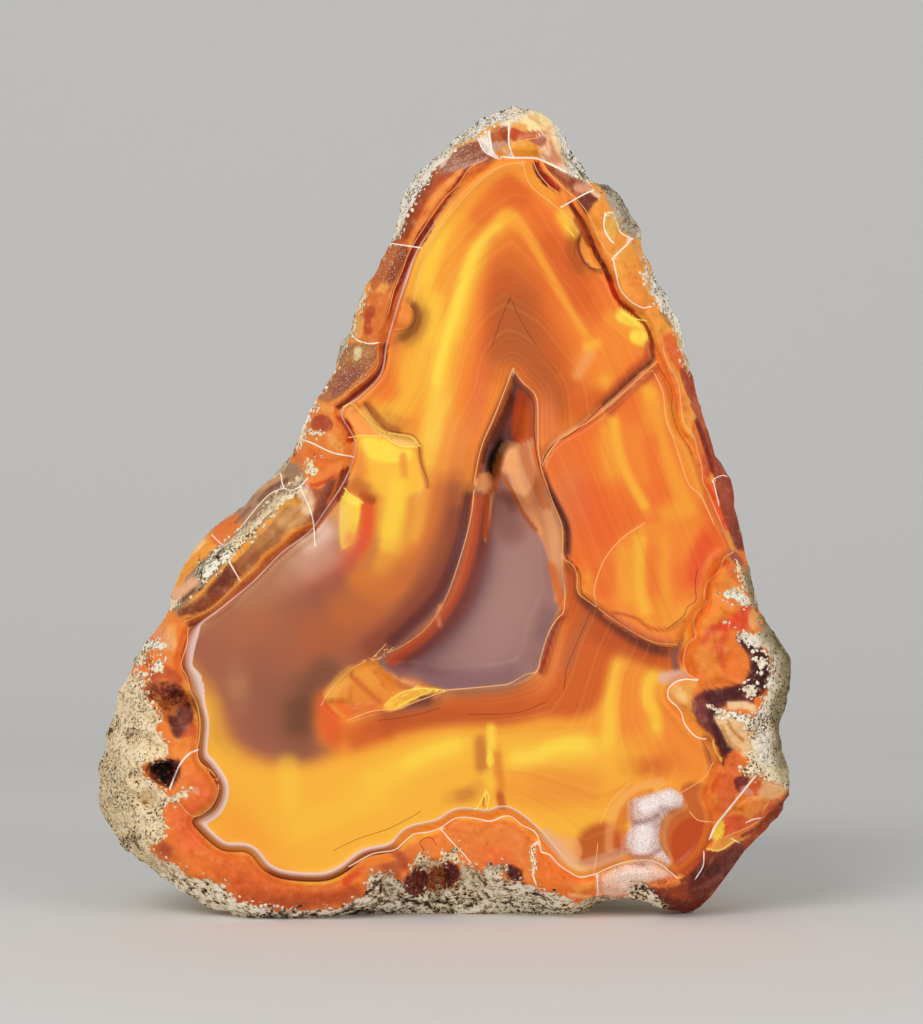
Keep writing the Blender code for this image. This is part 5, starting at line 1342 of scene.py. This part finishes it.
def stain_stone(stone, marks, front):
    """Keeps what the finish reads on the points of the stone: its stains, its thin lines and its kinds of ground."""
    mesh = stone.data
    body = numbers(mesh.vertices, "co", 3)
    depth = body[:, 1] - body[:, 1].min()
    depth -= rim_depths(marks, depth)
    depth[front] = np.minimum(depth[front], -EDGE_REACH * SKIN_FADE)
    skin = SKIN_DEPTH + np.sum([deep * dome(marks, centre, radius) for centre, radius, deep in SKIN_PATCHES], axis=0)
    seen = depth < skin + SKIN_FADE * 2 * EDGE_REACH
    spots, aside = marks[seen], ease(depth[seen], *SIDE_DEPTHS)
    side = aside > 0
    wander = np.column_stack([rough(body[seen][side] + part, 9 * MM) for part in (0, 0.1)])
    spots[side] += SIDE_SWAY * aside[side, None] * wander

    def keep(name, values, kind="FLOAT_VECTOR", field="vector", rest=0.0):
        whole = np.zeros((len(marks), values.shape[1])) + rest
        whole[seen] = values
        mesh.attributes.new(name, kind, "POINT").data.foreach_set(field, whole.ravel())

    keep("stain_and_shade", np.column_stack([paint(spots), np.ones(len(spots))]), "FLOAT_COLOR", "color", 1.0)
    for name, lines, _, _ in LINE_FAMILIES:
        keep(name, np.column_stack(thin_lines(spots, lines)), rest=EDGE_REACH)
    wall, bead = beside_the_wall(spots)
    keep("wall_kind", wall)
    keep("bead", bead)
    behind = (depth - skin)[seen] / SKIN_FADE
    crust = np.tile(tint(CRUST), (len(spots), 1))
    lay(crust, spots, CRUST_STROKES)
    x, y = spots.T
    broken = np.maximum(ease(y, 852, 888), ease(-np.hypot(x - 208, y - 566), -34, -22))
    crust, plain = np.column_stack([to_light(crust), broken]), np.append(to_light(tint(CRUST_BEHIND)), 0.3)
    fading = np.maximum(aside, ease(behind, 0, EDGE_REACH))[:, None]
    keep("crust_tint", crust + fading * (plain - crust), "FLOAT_COLOR", "color", plain)
    ground = kinds_of_ground(spots)
    ground[:, 0] = np.clip(np.maximum(ground[:, 0], behind), -EDGE_REACH, EDGE_REACH)
    keep("ground", ground, rest=EDGE_REACH)
    keep("banding", fine_bands(spots))


class Desk:
    """Lays out the nodes of one material."""

    def __init__(self, name):
        self.stuff = bpy.data.materials.new(name)
        self.stuff.use_nodes = True
        self.stuff.cycles.emission_sampling = "NONE"
        self.tree = self.stuff.node_tree
        self.shader = self.tree.nodes["Principled BSDF"].inputs
        self.where = self.node("TexCoord").outputs["Object"]

    def node(self, kind, feed=None, **settings):
        """A node, with its settings and with what feeds its sockets."""
        new = self.tree.nodes.new("ShaderNode" + kind)
        for name, value in settings.items():
            setattr(new, name, value)
        for socket, source in (feed or {}).items():
            if isinstance(source, bpy.types.NodeSocket):
                self.tree.links.new(source, new.inputs[socket])
            else:
                new.inputs[socket].default_value = source
        return new

    def maths(self, operation, *terms):
        return self.node("Math", dict(enumerate(terms)), operation=operation).outputs[0]

    def plus(self, one, other):
        return self.maths("ADD", one, other)

    def minus(self, one, other):
        return self.maths("SUBTRACT", one, other)

    def times(self, one, other):
        return self.maths("MULTIPLY", one, other)

    def fade(self, value, low, high, bottom=0.0, top=1.0):
        """A soft step from bottom where the value is low to top where it is high."""
        return self.node("MapRange", {"Value": value, "From Min": low, "From Max": high, "To Min": bottom,
                                      "To Max": top}, interpolation_type="SMOOTHSTEP").outputs[0]

    def blend(self, share, below, above, mode="MIX"):
        """One colour laid over another by its share; each comes from a socket or is a tint."""
        below, above = (c if isinstance(c, bpy.types.NodeSocket) else (*to_light(tint(c)), 1) for c in (below, above))
        return self.node("Mix", {0: share, 6: below, 7: above}, data_type="RGBA", blend_type=mode).outputs[2]

    def read(self, name):
        return self.node("Attribute", attribute_name=name).outputs

    def parts(self, name):
        return self.node("SeparateXYZ", {0: self.read(name)["Vector"]}).outputs

    def grain(self, size, detail=2.0, roughness=0.5, kind=0.0):
        """Smooth noise in the stone; each kind is another one."""
        return self.node("TexNoise", {"Vector": self.where, "W": kind, "Scale": 1 / size, "Detail": detail,
                                      "Roughness": roughness}, noise_dimensions="4D").outputs["Fac"]

    def cells(self, size):
        """Small cells: how far off the middle of its own each point lies, and a number that each cell draws."""
        found = self.node("TexVoronoi", {"Vector": self.where, "Scale": 1 / size}).outputs
        return found["Distance"], self.node("SeparateColor", {0: found["Color"]}).outputs["Red"]

    def stain_and_shade(self, share, shade, mode="MIX"):
        """Lays a colour over what the stone has so far."""
        self.colour = self.blend(share, self.colour, shade, mode)


def read_ground(d):
    """What the points of the stone keep, and the grains that more than one part of the finish takes."""
    d.colour = d.read("stain_and_shade")["Color"]
    d.crust, rim, d.pocket = d.parts("ground")
    d.depth = d.times(rim, -1.0)
    d.band, d.leaf, sugar = d.parts("banding")
    d.rim, d.sugar = d.fade(rim, -0.6, 0.8), d.fade(sugar, -0.8, 0.8)
    # The dark line beside the wall is painted shade, its brown band partly so
    d.dark, d.brown, banded = d.parts("wall_kind")
    d.calm = d.times(d.minus(1.0, d.rim), banded)
    d.mottle, d.fine = d.grain(1.1 * MM, 4.0, 0.6), d.grain(0.35 * MM, 1.0)
    d.crumb = d.grain(0.55 * MM, 3.0, 0.6)
    d.frayed = d.minus(d.plus(d.times(d.mottle, 8.0), d.times(d.crumb, 5.0)), 6.5)


def finish_bands(d):
    """Fine bands, which run beside the wall and turn lengthwise on the plate."""
    flow = d.plus(d.band, d.times(d.grain(9 * MM, 1.0), 0.02))
    strip = d.node("CombineXYZ", {0: d.times(flow, 30.0), 1: d.times(d.leaf, 7.0)}).outputs[0]
    bands = d.node("TexNoise", {"Vector": strip, "Scale": 1.0, "Detail": 2.0, "Roughness": 0.5}).outputs["Fac"]
    d.stain_and_shade(d.times(d.calm, d.fade(bands, 0.5, 0.8, 0.0, 0.12)), "F8C870", "SCREEN")
    d.stain_and_shade(d.times(d.calm, d.fade(bands, 0.5, 0.2, 0.0, 0.15)), "A05A2A", "MULTIPLY")


def finish_rim(d):
    """The rim is slightly mottled."""
    d.stain_and_shade(d.times(d.rim, d.fade(d.mottle, 0.5, 0.75, 0.0, 0.14)), "FFD0A0", "SCREEN")
    d.stain_and_shade(d.times(d.rim, d.fade(d.mottle, 0.48, 0.3, 0.0, 0.3)), "B06A48", "MULTIPLY")
    d.stain_and_shade(d.times(d.rim, d.fade(d.fine, 0.3, 0.22, 0.0, 0.25)), "6A3020")


def finish_wall(d):
    """Beside the wall run its dark line of painted shade, a brown band and a pale bead with a painted highlight."""
    middle, half, bead = d.parts("bead")
    outer = d.minus(middle, half)
    # The brown band: its own brown, with painted shade beside the groove
    near = d.times(d.fade(d.depth, 0.2, 1.0), d.fade(d.minus(d.depth, outer), 0.4, -0.4))
    d.stain_and_shade(d.times(near, d.brown), "8A5038")
    near = d.fade(d.minus(d.maths("ABSOLUTE", d.minus(d.depth, middle)), half), 0.5, -0.5)
    # The bead lightens towards its inner edge: a painted highlight
    sheen = d.fade(d.maths("DIVIDE", d.minus(d.depth, outer), half), 0.2, 1.6)
    d.stain_and_shade(d.times(near, bead), d.blend(sheen, "B98676", "E4C6B8"))
    # The dark line: painted shade in the groove at the wall
    near = d.fade(d.maths("ABSOLUTE", d.minus(d.depth, 0.4)), 1.4, 0.6)
    d.stain_and_shade(d.times(near, d.dark), "5A2414")


def finish_sugar(d):
    """Sugary crystals: white flecks on some cells are painted glints, the cell edges darker."""
    d.sparkle, flash = d.cells(0.28 * MM)
    flash = d.times(d.fade(d.sparkle, 0.45, 0.1, 0.0, 0.5), d.fade(flash, 0.3, 0.7))
    d.stain_and_shade(d.times(d.sugar, flash), "FFF4EC")
    d.stain_and_shade(d.times(d.sugar, d.fade(d.sparkle, 0.4, 0.7, 0.0, 0.3)), "D0A898", "MULTIPLY")


def finish_lines(d):
    """The thin lines, one family after another."""
    for name, _, shade, strength in LINE_FAMILIES:
        side, far, half = d.parts(name)
        past = d.minus(d.maths("ABSOLUTE", side), d.times(half, LINE_SHARE))
        near = d.times(d.fade(past, 0.4, -0.2), d.fade(far, 2.6, 2.0))
        d.stain_and_shade(d.times(near, strength), shade)


def finish_pockets(d):
    """The pockets are darker, with rusty specks."""
    hole = d.fade(d.plus(d.pocket, d.times(d.frayed, 0.5)), -0.8, 0.8)
    d.stain_and_shade(d.times(hole, d.fade(d.crumb, 0.55, 0.4, 0.2, 0.8)), "8A5448", "MULTIPLY")
    d.stain_and_shade(d.times(hole, d.fade(d.crumb, 0.58, 0.66, 0.0, 0.5)), "B8683A")


def finish_crust(d):
    """The crust: crumbs at its edge with painted highlights, gaps of painted shade, pits, and grey and rusty lichen.
    """
    d.clump, luck = d.cells(0.58 * MM)
    cluster = d.grain(2.4 * MM, 2.0, 0.5, kind=3.0)
    edge = d.plus(d.crust, d.frayed)
    loose = d.fade(d.plus(edge, d.times(d.minus(luck, 0.5), 9.0)), -0.6, 0.6)
    d.cover = d.maths("MAXIMUM", d.fade(edge, 1.2, 2.4), d.times(loose, d.fade(d.clump, 0.6, 0.48)))
    face, read = d.colour, d.read("crust_tint")
    d.colour, broken = read["Color"], read["Alpha"]
    d.stain_and_shade(d.fade(cluster, 0.5, 0.68, 0.0, 0.4), "E0CBA4", "MULTIPLY")
    d.stain_and_shade(d.fade(d.grain(1.5 * MM, 3.0, 0.6, kind=7.0), 0.6, 0.7, 0.0, 0.5), "A09490")
    d.stain_and_shade(d.fade(d.grain(1.3 * MM, 3.0, 0.6, kind=5.0), 0.66, 0.72, 0.0, 0.5), "B06A3C")
    # Painted highlights on the crumbs
    d.stain_and_shade(d.times(d.fade(d.clump, 0.4, 0.1), d.fade(luck, 0.3, 0.9, 0.0, 0.4)), "FFFBF2")
    # Painted shade in the gaps between the crumbs
    d.stain_and_shade(d.fade(d.plus(d.clump, d.times(cluster, 0.5)), 0.86, 1.05, 0.0, 0.4), "6E563E", "MULTIPLY")
    d.stain_and_shade(d.fade(d.crumb, 0.45, 0.34, 0.0, 0.75), "A08058", "MULTIPLY")
    wide = d.grain(6.0 * MM, 2.0, 0.5, kind=4.0)
    shade = d.minus(d.plus(d.times(cluster, 0.3), d.times(wide, 0.45)), 0.17)
    d.stain_and_shade(d.fade(d.minus(d.fine, shade), 0.21, 0.14, 0.0, 0.9), "33261E")
    d.stain_and_shade(d.fade(d.minus(d.crumb, shade), 0.16, 0.1, 0.0, 0.85), "4A3A2C")
    bits = d.plus(d.grain(0.8 * MM, 4.0, 0.7, kind=9.0), d.times(d.minus(cluster, 0.5), 0.5))
    d.stain_and_shade(d.times(broken, d.fade(bits, 0.5, 0.56)), "FFF6E2")
    d.stain_and_shade(d.times(broken, d.fade(bits, 0.47, 0.42, 0.0, 0.95)), "241812")
    d.colour = d.blend(d.cover, face, d.colour)


def finish_gloss(d):
    """Painted glow and gloss of the face, dull crust, and the relief that is too fine for the mesh."""
    dull = d.node("Mix", {0: d.cover, 2: d.plus(0.32, d.times(d.rim, 0.2)), 3: 0.9}).outputs[0]
    height = d.plus(d.times(d.crumb, 0.7), d.times(d.fine, 0.3))
    height = d.times(d.cover, d.minus(height, d.times(d.clump, 0.5)))
    for part, pattern, high in ((d.rim, d.crumb, 0.4), (d.sugar, d.sparkle, -0.5)):
        height = d.plus(height, d.times(part, d.times(pattern, high)))
    relief = d.node("Bump", {"Height": height, "Strength": 1.0, "Distance": 0.35 * MM}).outputs["Normal"]
    # The emission is painted glow: the face gives off its own colour, the crust less of it
    for socket, source in (("Base Color", d.colour), ("Roughness", dull), ("Normal", relief),
                           ("Emission Color", d.blend(d.times(d.cover, 0.4), d.colour, "000000"))):
        d.tree.links.new(source, d.shader[socket])
    for socket, value in (("Emission Strength", PAINTED_GLOW), ("Specular IOR Level", 0.18), ("IOR", 1.54)):
        d.shader[socket].default_value = value


def finish_stone():
    """The finish of the stone: stains and fine bands on the face, a rough rim and a pale crust."""
    desk = Desk("agate_stone_finish")
    for step in (read_ground, finish_bands, finish_rim, finish_wall, finish_sugar, finish_lines, finish_pockets,
                 finish_crust, finish_gloss):
        step(desk)
    return desk.stuff


def light(name, place_at, size, power):
    """A soft round lamp that shines on the stone."""
    lamp = bpy.data.lights.new(name, "AREA")
    lamp.shape = "DISK"
    lamp.size = size
    lamp.energy = power
    thing = bpy.data.objects.new(name, lamp)
    bpy.context.scene.collection.objects.link(thing)
    thing.location = place_at
    thing.rotation_euler = (Vector(LIT_SPOT) - Vector(place_at)).to_track_quat("-Z", "Y").to_euler()


def select_edges(mesh, wanted):
    """Selects the edges of a mesh both of whose ends are wanted."""
    bpy.ops.object.mode_set(mode="OBJECT")
    for edge in mesh.edges:
        edge.select = all(wanted(mesh.vertices[end].co) for end in edge.vertices)
    bpy.ops.object.mode_set(mode="EDIT")


def build_studio():
    """A pale floor that curves up into a backdrop, and soft lights."""
    bpy.ops.object.select_all(action="DESELECT")
    bpy.ops.mesh.primitive_plane_add(size=2, location=(0, -0.4, 0))
    floor = bpy.context.object
    floor.name = floor.data.name = "floor"
    bpy.ops.object.mode_set(mode="EDIT")
    bpy.ops.mesh.select_mode(type="EDGE")
    bpy.ops.mesh.select_all(action="DESELECT")
    select_edges(floor.data, lambda end: end.y > 0.9)
    bpy.ops.mesh.extrude_region_move(TRANSFORM_OT_translate={"value": (0, 0, 1.5)})
    select_edges(floor.data, lambda end: end.y > 0.9 and end.z < 0.1)
    bpy.ops.mesh.bevel(offset=0.35, segments=16, affect="EDGES")
    bpy.ops.object.mode_set(mode="OBJECT")
    bpy.ops.object.transform_apply(location=True)
    floor.data.polygons.foreach_set("use_smooth", [True] * len(floor.data.polygons))
    paper = bpy.data.materials.new("pale_paper")
    paper.use_nodes = True
    surface = paper.node_tree.nodes["Principled BSDF"].inputs
    surface["Base Color"].default_value = (0.8, 0.79, 0.77, 1)
    surface["Roughness"].default_value = 0.9
    floor.data.materials.append(paper)

    world = bpy.data.worlds.new("soft_room")
    world.use_nodes = True
    air = world.node_tree.nodes["Background"].inputs
    air["Color"].default_value = (1, 1, 1, 1)
    air["Strength"].default_value = 0.36
    bpy.context.scene.world = world
    light("key_light", (-0.35, -0.6, 0.55), 0.5, 3.08)
    light("fill_light", (0.5, -0.55, 0.3), 0.6, 1.5)


def aim_camera(shift):
    """The camera stands at the eye of the drawing and sees as much as the photograph."""
    eye = place(DRAWING_EYE)[0]
    camera = bpy.data.cameras.new("camera")
    camera.sensor_fit = "VERTICAL"
    camera.sensor_height = 36
    camera.lens = 36 * EYE_DISTANCE / (DRAWING_HEIGHT * PIXEL)
    camera.clip_start = 0.01
    thing = bpy.data.objects.new("camera", camera)
    bpy.context.scene.collection.objects.link(thing)
    thing.location = (eye[0] + shift[0], shift[1] - EYE_DISTANCE, eye[1])
    thing.rotation_euler = (math.pi / 2, 0, 0)
    bpy.context.scene.camera = thing


stone, marks, front, shift = model_stone()
stain_stone(stone, marks, front)
stone.data.materials.append(finish_stone())
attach(stone, "root")
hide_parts("agate")
build_studio()
aim_camera(shift)
bpy.context.scene.view_settings.view_transform = "Standard"
